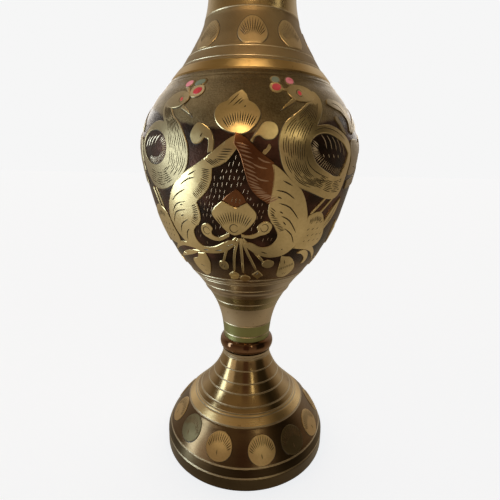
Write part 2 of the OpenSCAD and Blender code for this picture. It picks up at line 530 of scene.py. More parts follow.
def smooth_path(points, closed, steps=5):
    """A curve through (degrees, mm) points. A third value of 1 marks a sharp corner."""
    count = len(points)
    out = []
    last = count if closed else count - 1
    for i in range(last):
        b, c = points[i], points[(i + 1) % count]
        a, d = points[i - 1], points[(i + 2) % count]
        if len(b) > 2 or (not closed and i == 0):
            a = b
        if len(c) > 2 or (not closed and i == last - 1):
            d = c
        for j in range(steps):
            t = j / steps
            out.append(tuple(
                (2 * b[k] + (c[k] - a[k]) * t + (2 * a[k] - 5 * b[k] + 4 * c[k] - d[k]) * t * t
                 + (3 * b[k] - a[k] - 3 * c[k] + d[k]) * t ** 3) / 2
                for k in (0, 1)
            ))
    if not closed:
        out.append(tuple(points[-1][:2]))
    return out


def flat(point):
    return (point[0] * FLAT_SCALE, point[1])


def inside(point, loop):
    x, y = point
    found = False
    for (x0, y0), (x1, y1) in zip(loop, loop[1:] + loop[:1]):
        if (y0 > y) != (y1 > y) and x < (x1 - x0) * (y - y0) / (y1 - y0) + x0:
            found = not found
    return found


def clearance(point, loops):
    """Distance from a flat point to the nearest edge of some loops."""
    x, y = point
    best = 1e9
    for loop in loops:
        for (x0, y0), (x1, y1) in zip(loop, loop[1:] + loop[:1]):
            dx, dy = x1 - x0, y1 - y0
            t = ((x - x0) * dx + (y - y0) * dy) / max(dx * dx + dy * dy, 1e-12)
            t = min(max(t, 0.0), 1.0)
            best = min(best, math.hypot(x - x0 - t * dx, y - y0 - t * dy))
    return best


def area(loop):
    return sum(x0 * y1 - x1 * y0 for (x0, y0), (x1, y1) in zip(loop, loop[1:] + loop[:1])) / 2


def normal(before, after, scale=1.0):
    """Unit vector to the left of the way from one point to another, whose x counts scale."""
    dx, dy = (after[0] - before[0]) * scale, after[1] - before[1]
    run = math.hypot(dx, dy) or 1.0
    return -dy / run, dx / run


def lens(path, width):
    """The outline of a chisel stroke along flat points, and its middle line. It tapers at both ends."""
    left, right = [], []
    count = len(path) - 1
    for i, (x, y) in enumerate(path):
        nx, ny = normal(path[max(i - 1, 0)], path[min(i + 1, count)])
        w = width / 2 * math.sin(math.pi * (0.12 + 0.76 * i / count)) if 0 < i < count else 0.0
        left.append((x + nx * w, y + ny * w))
        right.append((x - nx * w, y - ny * w))
    return left + right[-2:0:-1], path[1:-1]


class Relief:
    """Collects raised shapes on one surface into one piece. Their ground lies at a height in metres."""

    def __init__(self, surface, ground=-GROUND_DROP):
        self.surface = surface
        self.ground = ground
        self.vertices, self.faces = [], []
        self.kinds = []  # of each face: 0 plain, 1 in a cut, 2 painted shade round raised work

    def plaque(
        self, outline, strokes=(), holes=(), top=RELIEF, width=0.55, depth=0.3, sharp=False, shade_skirt=0.0,
        bold=(),
    ):
        """A raised shape, with top, width, depth and shade skirt in mm. Its outline and holes are (degrees,
        mm) points, which are used as they are if it is sharp. Strokes are cut into its top, and bold ones
        wider.
        The shade skirt is the width of a dark border round it on the ground: painted shade where it meets the
        ground."""
        loops = []
        for loop in (outline, *holes):
            path = [flat(p) for p in (loop if sharp else smooth_path(loop, True))]
            loops.append(path if area(path) > 0 else path[::-1])
        loops[1:] = [loop[::-1] for loop in loops[1:]]
        if shade_skirt:
            for loop in loops:
                self.painted_shade_border(loop, shade_skirt)
        points, edges, drops = [], [], []
        for loop in loops:
            edges += chain(len(points), len(loop), closed=True)
            points += loop
            drops += [BEVEL] * len(loop)
        for loop in loops:
            for i, (x, y) in enumerate(loop):
                nx, ny = normal(loop[i - 1], loop[(i + 1) % len(loop)])
                p = (x + nx * TOP_INSET, y + ny * TOP_INSET)
                if clearance(p, loops) > EDGE_CLEAR:
                    points.append(p)
                    drops.append(0.0)
        for stroke, wide in [(each, width) for each in strokes] + [(each, BOLD) for each in bold]:
            path = [flat(p) for p in stroke_path(stroke)]
            if any(not self.within(p, loops) or clearance(p, loops) < wide * CUT_CLEAR for p in path):
                continue
            rim, middle = lens(path, wide)
            edges += chain(len(points), len(rim), closed=True)
            edges += chain(len(points) + len(rim), len(middle), closed=False)
            points += rim + middle
            drops += [0.0] * len(rim) + [depth * MM] * len(middle)
        for p in self.grid(loops, points):
            points.append(p)
            drops.append(0.0)
        made, _, faces, origin, _, _ = delaunay_2d_cdt([Vector(p) for p in points], edges, [], 0, 1e-5)
        sunk = [max((drops[i] for i in old), default=0.0) for old in origin]
        kept = [f for f in faces if self.within(middle_of([made[i] for i in f]), loops)]
        self.raise_up(made, kept, sunk, top * MM)

    def grid(self, loops, points):
        """Points spread over the inside of a shape, clear of its edges, its points and each other."""
        xs, ys = [p[0] for p in loops[0]], [p[1] for p in loops[0]]
        found = []
        for i in range(int((max(xs) - min(xs)) / GRID_PITCH) + 1):
            for j in range(int((max(ys) - min(ys)) / GRID_PITCH) + 1):
                p = (min(xs) + (i + 0.5) * GRID_PITCH, min(ys) + (j + 0.5) * GRID_PITCH)
                if self.within(p, loops) and clearance(p, loops) > GRID_CLEAR:
                    if min(abs(p[0] - q[0]) + abs(p[1] - q[1]) for q in points) > GRID_CLEAR:
                        found.append(p)
        return found

    def painted_shade_border(self, loop, width):
        """A thin dark border on the ground round one loop of a raised shape: painted shade where the raised
        work meets it.
        """
        first = len(self.vertices)
        count = len(loop)
        under = -0.05  # it starts a little under the raised shape
        section = ((under, -BURIED), (under, 0.06 * MM), (width, 0.03 * MM), (width, -BURIED))
        for i, (x, y) in enumerate(loop):
            nx, ny = normal(loop[i - 1], loop[(i + 1) % count])
            for reach, height in section:
                place = ((x - nx * reach) / FLAT_SCALE, y - ny * reach)
                self.vertices.append(self.surface.at(*place, self.ground + height))
        for i in range(count):
            here, there = first + 4 * i, first + 4 * ((i + 1) % count)
            for k in range(4):
                m = (k + 1) % 4
                self.faces.append([here + k, here + m, there + m, there + k])
                self.kinds.append(2)

    def within(self, point, loops):
        """Whether a flat point lies inside the first loop and outside the others, which are holes."""
        return inside(point, loops[0]) and not any(inside(point, hole) for hole in loops[1:])

    def raise_up(self, made, kept, sunk, top):
        """Puts flat triangles on the surface as a closed solid: a top, walls and a buried bottom.
        sunk holds how far each point lies below the top."""
        used = sorted({i for f in kept for i in f})
        first = len(self.vertices)
        place = {}
        for low in (0, 1):
            for i in used:
                place[i, low] = first + len(place)
                height = self.ground + (-BURIED if low else top - sunk[i])
                x, y = made[i]
                self.vertices.append(self.surface.at(x / FLAT_SCALE, y, height))
        sides = {}
        for f in kept:
            if signed(made, f) < 0:
                f = f[::-1]
            self.faces.append([place[i, 0] for i in f])
            self.kinds.append(1 if any(sunk[i] > BEVEL + 1e-7 for i in f) else 0)
            self.faces.append([place[i, 1] for i in reversed(f)])
            self.kinds.append(0)
            for i, j in zip(f, list(f[1:]) + [f[0]]):
                sides[i, j] = True
        for i, j in sides:
            if (j, i) not in sides:
                self.faces.append([place[j, 0], place[i, 0], place[i, 1], place[j, 1]])
                self.kinds.append(0)

    def strokes(self, strokes, width, top=0.14):
        """Small bright ridges that stand on the ground."""
        for stroke in strokes:
            rim, middle = lens([flat(p) for p in stroke_path(stroke)], width)
            edges = chain(0, len(rim), closed=True)
            made, _, faces, origin, _, _ = delaunay_2d_cdt([Vector(p) for p in rim + middle], edges, [], 0,
                                                           1e-5)
            sunk = [top * MM * 0.7 if min(old, default=0) < len(rim) else 0.0 for old in origin]
            kept = [f for f in faces if inside(middle_of([made[i] for i in f]), rim)]
            before = len(self.kinds)
            self.raise_up(made, kept, sunk, top * MM)
            self.kinds[before:] = [0] * (len(self.kinds) - before)

    def piece(self, name, material, body, slot="engraved_brass", turns=(0,), cut="groove"):
        """Makes one piece of all shapes, repeated at some turns in degrees. Cuts have their own material."""
        mesh = bpy.data.meshes.new(name)
        count = len(self.vertices)
        places, faces = [], []
        for k, turn in enumerate(turns):
            rotation = Matrix.Rotation(math.radians(turn), 3, "Z")
            places += [rotation @ v for v in self.vertices]
            faces += [[i + k * count for i in f] for f in self.faces]
        mesh.from_pydata(places, [], faces)
        mesh.materials.append(MATERIAL[material])
        if max(self.kinds) > 0:
            mesh.materials.append(MATERIAL[cut])
            # Faces of kind 2 get painted shade: the dark border round raised work
            mesh.materials.append(MATERIAL["painted_edge_shade"])
            mesh.polygons.foreach_set("material_index", self.kinds * len(turns))
        normals = add_piece(name, mesh, 30, body, slot).modifiers.new("flat_tops", "WEIGHTED_NORMAL")
        normals.keep_sharp = True

    def on_belly(self, name, material, slot="engraved_brass", cut="groove"):
        """Makes the piece in front, and once more behind."""
        self.piece(name, material, "vase", slot, (0, 180), cut)


def chain(first, count, closed):
    """Edges from each of some points to the next, and back to the first if it is closed."""
    edges = [(first + i, first + i + 1) for i in range(count - 1)]
    return edges + [(first + count - 1, first)] if closed else edges


def stroke_path(stroke):
    """The points of a curved stroke, or four points along a straight one."""
    if len(stroke) > 2:
        return smooth_path(stroke, False, 3)
    start, stop = stroke
    return [start, between(start, stop, 0.33), between(start, stop, 0.67), stop]


def between(a, b, t):
    return (a[0] + (b[0] - a[0]) * t, a[1] + (b[1] - a[1]) * t)


def middle_of(points):
    return (sum(p[0] for p in points) / len(points), sum(p[1] for p in points) / len(points))


def signed(made, f):
    """Twice the area of a face's first triangle, below 0 if it turns clockwise."""
    a, b, c = (made[i] for i in f[:3])
    return (b[0] - a[0]) * (c[1] - a[1]) - (b[1] - a[1]) * (c[0] - a[0])


# ---------------------------------------------------------------- strokes
def fan(centre, near, far, start, stop, count):
    """Straight strokes out from a centre, from near to far in mm, between two angles."""
    out = []
    for i in range(count):
        a = math.radians(start + (stop - start) * i / (count - 1))
        out.append([
            (centre[0] + d * math.cos(a) / FLAT_SCALE, centre[1] + d * math.sin(a)) for d in (near, far)
        ])
    return out


def fringe(edge, count, inset, length, lean=0.0):
    """Short strokes that start just inside an edge and run away to its left."""
    path = smooth_path(edge, False, 6)
    out = []
    for i in range(count):
        t = (i + 0.5) / count * (len(path) - 1)
        k = min(int(t), len(path) - 2)
        p = between(path[k], path[k + 1], t - k)
        dx = (path[k + 1][0] - path[k][0]) * FLAT_SCALE
        dy = path[k + 1][1] - path[k][1]
        a = math.atan2(dy, dx) + math.pi / 2 + math.radians(lean)
        out.append([
            (p[0] + d * math.cos(a) / FLAT_SCALE, p[1] + d * math.sin(a)) for d in (inset, inset + length)
        ])
    return out


def flow(side_a, side_b, rows, dash, gap):
    """Broken strokes that follow a band between its two sides. Dash and gap are shares of its length."""
    start, stop = 0.02, 0.98
    a, b = smooth_path(side_a, False, 8), smooth_path(side_b, False, 8)
    pick = random.Random(7)
    out = []

    def at(t, row):
        ends = []
        for side in (a, b):
            x = t * (len(side) - 1)
            k = min(int(x), len(side) - 2)
            ends.append(between(side[k], side[k + 1], x - k))
        return between(ends[0], ends[1], row)

    for i in range(rows):
        row = (i + 0.6) / (rows + 0.2)
        t = start + pick.random() * gap
        while t + dash * 0.5 < stop:
            end = min(t + dash * (0.8 + 0.4 * pick.random()), stop)
            out.append([at(t + (end - t) * j / 3, row) for j in range(4)])
            t = end + gap
    return out


def scatter(loop, holes, across, up, length, lean):
    """Rows of short strokes inside a loop and outside some holes."""
    outer = smooth_path(loop, True)
    inner = [smooth_path(h, True) for h in holes]
    xs, ys = [p[0] for p in outer], [p[1] for p in outer]
    pick = random.Random(3)
    out = []
    row, y = 0, min(ys) + up / 2
    while y < max(ys):
        x = min(xs) + (across / 2 if row % 2 else 0)
        while x < max(xs):
            a = math.radians(lean + pick.uniform(-9, 9))
            size = length * pick.uniform(0.75, 1.2) / 2
            p = (x + pick.uniform(-0.4, 0.4), y + pick.uniform(-0.3, 0.3))
            ends = [(p[0] + d * math.cos(a) / FLAT_SCALE, p[1] + d * math.sin(a)) for d in (-size, size)]
            if all(inside(q, outer) and not any(inside(q, h) for h in inner) for q in ends):
                out.append(ends)
            x += across
        y += up
        row += 1
    return out


def oval(centre, wide, high, count=12, tilt=0.0):
    """Points of an ellipse: half-width in degrees, half-height in mm."""
    out = []
    t = math.radians(tilt)
    for i in range(count):
        a = 2 * math.pi * i / count
        x, y = wide * FLAT_SCALE * math.cos(a), high * math.sin(a)
        out.append((centre[0] + (x * math.cos(t) - y * math.sin(t)) / FLAT_SCALE,
                    centre[1] + x * math.sin(t) + y * math.cos(t)))
    return out


def band(path, width):
    """The outline of a stem along a path, a little narrower at its ends."""
    line = smooth_path(path, False, 4)
    left, right = [], []
    last = len(line) - 1
    ends = 0.35
    for i, (x, y) in enumerate(line):
        nx, ny = normal(line[max(i - 1, 0)], line[min(i + 1, last)], FLAT_SCALE)
        w = width / 2 * (ends + (1 - ends) * min(1.0, 4 * min(i, last - i) / last + 0.4))
        left.append((x + nx * w / FLAT_SCALE, y + ny * w))
        right.append((x - nx * w / FLAT_SCALE, y - ny * w))
    return left + right[::-1]


def arc(centre, wide, high, start, stop, count=9):
    """Part of an ellipse, between two angles."""
    out = []
    for i in range(count):
        a = math.radians(start + (stop - start) * i / (count - 1))
        out.append((centre[0] + wide * math.cos(a), centre[1] + high * math.sin(a)))
    return out


def rays(centre, wide, high, start, stop, count, near, far):
    """Strokes that run inwards from an ellipse's edge, from near to far in mm."""
    out = []
    for i in range(count):
        a = math.radians(start + (stop - start) * i / (count - 1))
        c, s = math.cos(a), math.sin(a)
        out.append([
            (centre[0] + (wide * FLAT_SCALE - d) * c / FLAT_SCALE, centre[1] + (high - d) * s)
            for d in (near, far)
        ])
    return out


def shifted(stroke, steps):
    """Copies of a stroke, each moved by its own (degrees, mm)."""
    return [[(x + dx, y + dy) for x, y in stroke] for dx, dy in steps]


# ---------------------------------------------------------------- the ground under the ornament
def ornament_ground(name):
    """Punched brass round the shoulder, dark lacquer below it, and lacquer worn thin at the bottom.
    The border dips at the front and the back."""
    recipe = Recipe(name)
    parts = recipe.node("ShaderNodeSeparateXYZ")
    recipe.link(recipe.place, parts.inputs[0])
    x, y, z = parts.outputs
    across, deep = recipe.math("MULTIPLY", x, x), recipe.math("MULTIPLY", y, y)
    flank = recipe.math("DIVIDE", across, recipe.math("ADD", across, deep))
    border = recipe.math("ADD", recipe.math("MULTIPLY", flank, 14 * MM), 171 * MM)
    ragged = recipe.math("MULTIPLY", recipe.math("SUBTRACT", recipe.noise(160, 3), 0.5), 3 * MM)
    above = recipe.math("MULTIPLY", recipe.math("SUBTRACT", recipe.math("ADD", z, ragged), border), 700)
    punched = recipe.math("MINIMUM", recipe.math("MAXIMUM", above, 0), 1)
    low = recipe.math("MULTIPLY", recipe.math("SUBTRACT", 117 * MM, z), 110)
    bare = recipe.math("MINIMUM", recipe.math("MAXIMUM", low, 0), 0.8)
    grain = recipe.noise(1500, 2)
    clouds = recipe.noise(60, 4)
    speckled = recipe.math("ADD", recipe.math("MULTIPLY", clouds, 0.55), recipe.math("MULTIPLY", grain, 0.45))
    brass = recipe.ramp(speckled, [(0.34, (0.115, 0.083, 0.042)), (0.64, (0.28, 0.215, 0.12))])
    lacquer = recipe.ramp(
        clouds, [(0.35, (0.012, 0.007, 0.004)), (0.52, (0.04, 0.017, 0.01)), (0.68, (0.105, 0.044, 0.03))]
    )
    worn = recipe.ramp(clouds, [(0.3, (0.12, 0.07, 0.04)), (0.7, (0.22, 0.14, 0.07))])
    lower = recipe.mix(bare, lacquer, worn)
    recipe.link(recipe.mix(punched, lower, brass), recipe.shader.inputs["Base Color"])
    metal = recipe.math("MAXIMUM", punched, recipe.math("ADD", recipe.math("MULTIPLY", bare, 0.4), 0.6))
    recipe.link(metal, recipe.shader.inputs["Metallic"])
    recipe.shader.inputs["Specular IOR Level"].default_value = 0.2
    matte = recipe.level(grain, 0.42, 0.58)
    gloss = recipe.level(clouds, 0.3, 0.42)
    smooth = recipe.math("MULTIPLY", gloss, recipe.math("SUBTRACT", 1, punched))
    rough = recipe.math("ADD", recipe.math("MULTIPLY", matte, punched), smooth)
    recipe.link(rough, recipe.shader.inputs["Roughness"])
    recipe.link(recipe.bump(grain, 0.16 * MM, 0.85), recipe.shader.inputs["Normal"])
    return recipe.material


MATERIAL = {
    "inner": turned_brass("inner_brass", (0.28, 0.2, 0.1), (0.42, 0.31, 0.16), (0.3, 0.45), 0.05),
    "line": turned_brass("fresh_cut", (0.46, 0.38, 0.26), (0.62, 0.53, 0.38), (0.34, 0.46)),
    "foot_dark": turned_brass("foot_edge_brass", (0.055, 0.038, 0.02), (0.105, 0.076, 0.042), (0.26, 0.4)),
    "foot_brown": turned_brass(
        "foot_band_brass", (0.13, 0.083, 0.043), (0.22, 0.148, 0.082), (0.2, 0.3), 0.04
    ),
    "foot_gold": turned_brass("foot_step_brass", (0.74, 0.54, 0.27), (0.88, 0.67, 0.36), (0.24, 0.32), 0.012),
    "foot_polish": turned_brass("foot_cone_brass", (0.34, 0.24, 0.12), (0.46, 0.33, 0.17), (0.12, 0.21)),
    "tan": turned_brass("tan_brass", (0.4, 0.32, 0.22), (0.54, 0.44, 0.31), (0.32, 0.44)),
    "green": turned_brass("green_brass", (0.18, 0.19, 0.08), (0.3, 0.3, 0.13), (0.3, 0.42)),
    "stem_dark": turned_brass("stem_dark_brass", (0.2, 0.165, 0.085), (0.35, 0.285, 0.155), (0.2, 0.32)),
    "ring": turned_brass("waist_ring_brass", (0.15, 0.078, 0.042), (0.25, 0.14, 0.08), (0.07, 0.14)),
    "polish": turned_brass("polished_brass", (0.38, 0.28, 0.14), (0.52, 0.39, 0.21), (0.2, 0.32)),
    "stem_pale": turned_brass("pale_stem_brass", (0.3, 0.235, 0.165), (0.42, 0.34, 0.25), (0.24, 0.34)),
    "gold": turned_brass("shoulder_gold", (0.52, 0.37, 0.16), (0.68, 0.5, 0.24), (0.28, 0.4)),
    "neck_band": matte_ground("neck_band_brass", (0.22, 0.155, 0.08), (0.33, 0.24, 0.13)),
    "ground": ornament_ground("ornament_ground"),
    "raised": cut_brass("raised_brass", (0.5, 0.39, 0.2), (0.71, 0.57, 0.315), (0.24, 0.36)),
    "raised_dull": cut_brass("raised_dull_brass", (0.24, 0.185, 0.105), (0.37, 0.295, 0.175), (0.34, 0.5)),
    # Dark red brass of the cuff and the lower flower's tip: a painted reflection of the dark room in front
    "raised_painted_reflection": cut_brass("raised_red_brass", (0.13, 0.052, 0.024), (0.25, 0.105, 0.046), (0.26, 0.4)),
    "groove": enamel("stroke_grime", (0.05, 0.035, 0.015), (0.1, 0.07, 0.03), 0.45),
    "bright": cut_brass("bright_stroke", (0.5, 0.41, 0.3), (0.68, 0.58, 0.44), (0.3, 0.45)),
    "cuff_stroke": cut_brass("cuff_stroke_brass", (0.36, 0.22, 0.15), (0.52, 0.34, 0.24), (0.3, 0.42)),
    "faint": cut_brass("faint_stroke", (0.28, 0.2, 0.13), (0.46, 0.34, 0.24), (0.34, 0.5)),
    "medallion": cut_brass("medallion_brass", (0.57, 0.42, 0.215), (0.74, 0.56, 0.31), (0.34, 0.48)),
    # Darker medallion brass: a painted dark reflection of the surroundings
    "medallion_painted_dark": cut_brass(
        "dull_medallion_brass", (0.14, 0.11, 0.058), (0.215, 0.17, 0.09), (0.42, 0.56)
    ),
    "neck_medallion": cut_brass(
        "neck_medallion_brass", (0.45, 0.335, 0.185), (0.6, 0.46, 0.265), (0.36, 0.5)
    ),
    # A dark border round raised work on the ground: painted shade where the two meet
    "painted_edge_shade": enamel("outline_grime", (0.03, 0.022, 0.012), (0.07, 0.05, 0.028), 0.5),
    "red": enamel("red_enamel", (0.42, 0.02, 0.035), (0.66, 0.06, 0.09)),
    "pink": enamel("pink_enamel", (0.6, 0.12, 0.2), (0.85, 0.35, 0.42)),
    "enamel_green": enamel("grey_green_enamel", (0.09, 0.12, 0.08), (0.2, 0.25, 0.2)),
}


# ---------------------------------------------------------------- turned skins, with heights in mm
TOP = 999  # above everything
FOOT_DROP = 0.25 * MM  # the foot's band lies this far below the CAD surface
NECK_DROP = 0.2 * MM  # and the neck's


def shelf(z0, z1, depth):
    """How far a skin is sunk between two heights in mm, as a function of height in m."""
    slope = 0.8  # mm of height at each end

    def drop(z):
        inward = min(z / MM - z0, z1 - z / MM) / slope
        return depth * min(max(inward, 0.0), 1.0)

    return drop


def foot_skins():
    turned_skin(
        "foot_bell", high_edge("foot_bell"), "foot", "foot_brass",
        [(11.8, "foot_dark"), (25.9, "foot_brown"), (26.6, "tan"), (31.2, "foot_gold"),
         (53.3, "foot_polish"), (TOP, "tan")],
        [(6.9, 0.9, 0.25), (11.6, 0.8, 0.3), (26.2, 0.7, 0.2), (29.6, 0.5, 0.15), (30.6, 0.5, 0.25),
         (32.9, 0.7, 0.2), (37.7, 0.7, 0.2), (41.9, 0.7, 0.2), (47.7, 0.7, 0.2), (53.3, 0.6, 0.2),
         (54.6, 0.5, 0.25)],
        drop=shelf(12.4, 25.4, FOOT_DROP),
    )
    turned_skin("waist_ring", high_edge("waist_ring"), "collar", "ring_brass", [(TOP, "ring")], [])


def stem_skin():
    """The stem is closed by a floor, with the stud's socket below it."""
    axis, bowl = 0.02 * MM, 73 * MM
    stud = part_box("threaded_stud")[1]
    turned_skin(
        "stem_cup", low_edge("belly_lower"), "vase", "stem_brass",
        [(73.2, "green"), (84.2, "tan"), (92.3, "stem_dark"), (TOP, "stem_pale")],
        [(67.0, 0.7, 0.2), (73.7, 0.6, 0.2), (87.9, 0.7, 0.2), (94.2, 3.2, -0.45), (97.7, 0.7, 0.25),
         (102.1, 0.7, 0.25), (103.5, 0.6, 0.2)],
        floor=((axis, bowl), (axis, stud.z), (stud.x, stud.z), (stud.x, low_edge("stem_cup"))),
    )


def belly_skins():
    turned_skin(
        "belly_lower", low_edge("belly_upper"), "vase", "belly_brass", [(TOP, "ground")],
        [(105.6, 0.7, 0.25)], drop=shelf(105.6, TOP, GROUND_DROP), lap=LAP,
    )
    turned_skin(
        "belly_upper", low_edge("shoulder_ring"), "vase", "shoulder_brass", [(TOP, "ground")],
        [(194.2, 1.25, 0.3)], drop=shelf(0, 193.6, GROUND_DROP), lap=LAP,
    )
    turned_skin(
        "shoulder_ring", high_edge("shoulder_ring"), "vase", "bright_brass", [(TOP, "gold")],
        [(201.3, 0.5, 0.25)], lap=LAP,
    )


def neck_skins():
    turned_skin(
        "neck", low_edge("mouth_flare"), "vase", "neck_brass", [(224.8, "neck_band"), (TOP, "polish")],
        [(202.6, 0.6, 0.18), (207.1, 0.6, 0.18), (224.8, 0.7, 0.25), (238.4, 0.7, 0.2), (246.6, 0.7, 0.2)],
        drop=shelf(207.8, 224.2, NECK_DROP),
    )
    turned_skin(
        "mouth_flare", high_edge("mouth_flare"), "vase", "neck_brass",
        [(290, "polish"), (298, "foot_dark"), (TOP, "polish")],
        [(250.2, 0.7, 0.2), (262, 0.7, 0.2), (276, 0.7, 0.2), (289.6, 0.7, 0.25), (297.8, 0.7, 0.25)],
        lap=LAP,
    )


def rim_skin():
    """The rolled rim, finer than in the CAD."""
    low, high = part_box("rim_bead")
    section = 2.5 * MM
    centre_r, centre_z = high.x - section, high.z - section
    start = math.asin((centre_z - low.z) / section)
    steps = 28
    outline = []
    for i in range(steps + 1):
        a = -start + (math.pi + 2 * start) * i / steps
        outline.append((centre_r + section * math.cos(a), centre_z + section * math.sin(a)))
    lathe("rim_bead_skin", outline, lambda z, k: "gold", "vase", "rim_bead", "bright_brass")


def stud_thread():
    """The stud with a fine thread, where the CAD's has fewer facets. The bush keeps its CAD mesh."""
    low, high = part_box("threaded_stud")
    pitch, mean, rise = 2.5 * MM, 8.4 * MM, 0.6 * MM
    shoulder, shank, socket = 57.0 * MM, 8.6 * MM, low_edge("stem_cup")
    sides, step = 96, pitch / 16
    rings = int(round((shoulder - low.z) / step))
    rows = [(low.z + k * step, None) for k in range(rings + 1)]
    rows += [(shoulder, shank), (socket, shank), (socket, high.x), (high.z, high.x)]
    vertices, faces = [], []
    for z, fixed in rows:
        for i in range(sides):
            a = 2 * math.pi * i / sides
            r = fixed or mean + rise * math.cos(2 * math.pi * z / pitch - a)
            vertices.append((r * math.cos(a), r * math.sin(a), z))
    for k in range(len(rows) - 1):
        for i in range(sides):
            j = (i + 1) % sides
            faces.append((k * sides + i, k * sides + j, (k + 1) * sides + j, (k + 1) * sides + i))
    faces.append(tuple(range(sides))[::-1])
    faces.append(tuple(range((len(rows) - 1) * sides, len(rows) * sides)))
    mesh = bpy.data.meshes.new("stud_thread")
    mesh.from_pydata(vertices, [], faces)
    mesh.materials.append(MATERIAL["inner"])
    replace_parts(add_piece("stud_thread", mesh, 40, "vase", "inner_brass"), "threaded_stud")
    bush = frame["nodes"]["foot_bush"].data
    bush.materials.clear()
    bush.materials.append(MATERIAL["inner"])


# ---------------------------------------------------------------- medallions
# (turn in degrees from the front, height along the wall in mm)
FOOT_MEDALLIONS = (
    (-75, 14.2), (-19, 12.5), (13, 11.8), (65, 11.5), (95, 11.8), (126, 11.8), (188, 11.8), (219, 12),
    (251, 12.4),
)
# These three are painted darker: a painted dark reflection of the surroundings
DARK_REFLECTION_MEDALLIONS = ((-48, 14.2), (39, 11.8), (157, 12))
NECK_MEDALLIONS = (1, 38, 84, 129, 174, 221, 268, 316)


def flutes(centre, wide, high, focus, near, count, spread, gap, share):
    """Cuts that fan up from a focus near a medallion's foot, and end a gap inside its edge. Each starts
    a near distance from the focus, or at a share of its way if that is farther. The spread is in degrees to
    each side. The rest is in mm, but for the centre's angle."""
    below = focus - centre[1]
    out = []
    for i in range(count):
        a = math.radians(90 + spread * (1 - 2 * i / (count - 1)))
        c, s = math.cos(a), math.sin(a)
        square = (c / wide) ** 2 + (s / high) ** 2
        half = s * below / high ** 2
        far = (math.sqrt(half * half - square * ((below / high) ** 2 - 1)) - half) / square - gap
        ends = (max(near, share * far), far)
        out.append([(centre[0] + d * c / FLAT_SCALE, focus + d * s) for d in ends])
    return out


def foot_medallions():
    """Shell medallions stand round the foot, each cut by hand a little off its place. A few are painted
    darker, as a painted dark reflection.
    """
    stretch = FLAT_SCALE / 0.709  # 0.709 mm along the foot's band is one degree
    wall = Surface(curve_of("foot_bell", 8 * MM, high_edge("foot_bell"), CURVE_STEP), stretch)
    wide, high, focus = 7.2, 7.1, -4.2
    for name, material, cut, places in (
        ("foot_medallions", "medallion", "groove", FOOT_MEDALLIONS),
        ("dull_medallions", "medallion_painted_dark", "faint", DARK_REFLECTION_MEDALLIONS),
    ):
        relief = Relief(wall, -FOOT_DROP)
        for turn, s in places:
            x = turn / stretch
            cuts = flutes((x, s), wide, high, s + focus, 5.4, 15, 56, 0.34, 0.5)
            cuts.append([(x - 0.5, s - 1.6), (x - 0.2, s + focus)])
            shape = oval((x, s), wide / FLAT_SCALE, high, 20)
            relief.plaque(shape, cuts, top=0.38, width=0.45, depth=0.3, shade_skirt=0.42)
        relief.piece(name, material, "foot", cut=cut)


def neck_medallions():
    """Shells with a flat foot round the neck."""
    stretch = FLAT_SCALE / 0.48  # 0.48 mm along the neck's band is one degree
    relief = Relief(Surface(curve_of("neck", 201.7 * MM, 240 * MM, CURVE_STEP), stretch), -NECK_DROP)
    wide, high, focus, s = 6.2, 7.4, -6.6, 14.4
    shell = [(-6.6, 0), (-6, -3.6), (-3.6, -6.8, 1), (3.6, -6.8, 1), (6, -3.6), (6.6, 0), (5.6, 3.6),
             (3, 6.5), (0, 7.3), (-3, 6.5), (-5.6, 3.6)]
    for turn in NECK_MEDALLIONS:
        x = turn / stretch
        outline = [(x + point[0], s + point[1], *point[2:]) for point in shell]
        cuts = flutes((x, s), wide, high, s + focus, 4.4, 13, 38, 0.62, 0.36)
        relief.plaque(outline, cuts, top=0.34, width=0.43, depth=0.28, shade_skirt=0.34)
    relief.piece("neck_medallions", "neck_medallion", "vase")


# ---------------------------------------------------------------- the engraved belly
# Points are (degrees from the front, mm along the wall from the stem), with a 1 at a sharp corner
UPPER_LOTUS = [(-15, 79), (-13.6, 82.5), (-10, 84.2, 1), (-8, 86.5), (-5.5, 88.3), (-3.5, 89.3, 1),
               (-1.5, 87), (-0.3, 84.2, 1), (2.5, 82.6), (4.6, 79), (3.2, 75.2), (0.2, 72.2), (-2.5, 71, 1),
               (-5, 71, 1), (-8.5, 71.8), (-11.5, 73.2), (-14, 75.8)]
LOWER_LOTUS = [(-17.7, 39), (-16, 42.2), (-12, 45.2, 1), (-8.6, 43.4), (-5.4, 42.4), (-3, 43.4),
               (-0.6, 44.6, 1), (3.2, 41.2), (4, 38.8), (3, 36.2), (-0.3, 32.6), (-4, 30.2), (-7.2, 29.6),
               (-10.6, 31), (-14.2, 34.6)]
LOWER_TIP = [(-11.6, 45.4, 1), (-9.4, 47.6), (-5.3, 50.2, 1), (-2, 47.4), (-0.9, 44.7, 1), (-3, 43.6),
             (-5.4, 42.6), (-8.6, 43.6)]
LEFT_LEAF = [(-4.2, 71.2, 1), (-8.5, 69), (-17, 63), (-22, 60), (-28, 57), (-36, 52), (-42.5, 45),
             (-45, 41), (-47, 35), (-44, 27), (-38, 22), (-30, 19), (-20, 19), (-12, 21), (-5, 26, 1),
             (-10, 27), (-19, 23.3), (-25, 22.6), (-28.5, 23.5), (-31, 27), (-30, 31), (-26, 34, 1),
             (-24.6, 36), (-24.2, 40), (-25, 44, 1), (-21, 47), (-18, 50), (-16, 54, 1), (-15.5, 58, 1),
             (-9.5, 60.5), (-4.6, 66, 1)]
RIGHT_LEAF = [(9.2, 60.6, 1), (10.4, 56), (10.2, 50), (9.5, 44, 1), (9.5, 40), (11.5, 36, 1), (14, 33),
              (16, 29), (13.5, 25), (8, 23.6), (2, 26), (-2, 26, 1), (0, 23), (6, 19.5), (14, 17.5),
              (23, 18.8), (29, 23.6), (32, 29), (32, 36), (29, 43.5), (24.5, 50), (19, 54), (12.6, 59)]
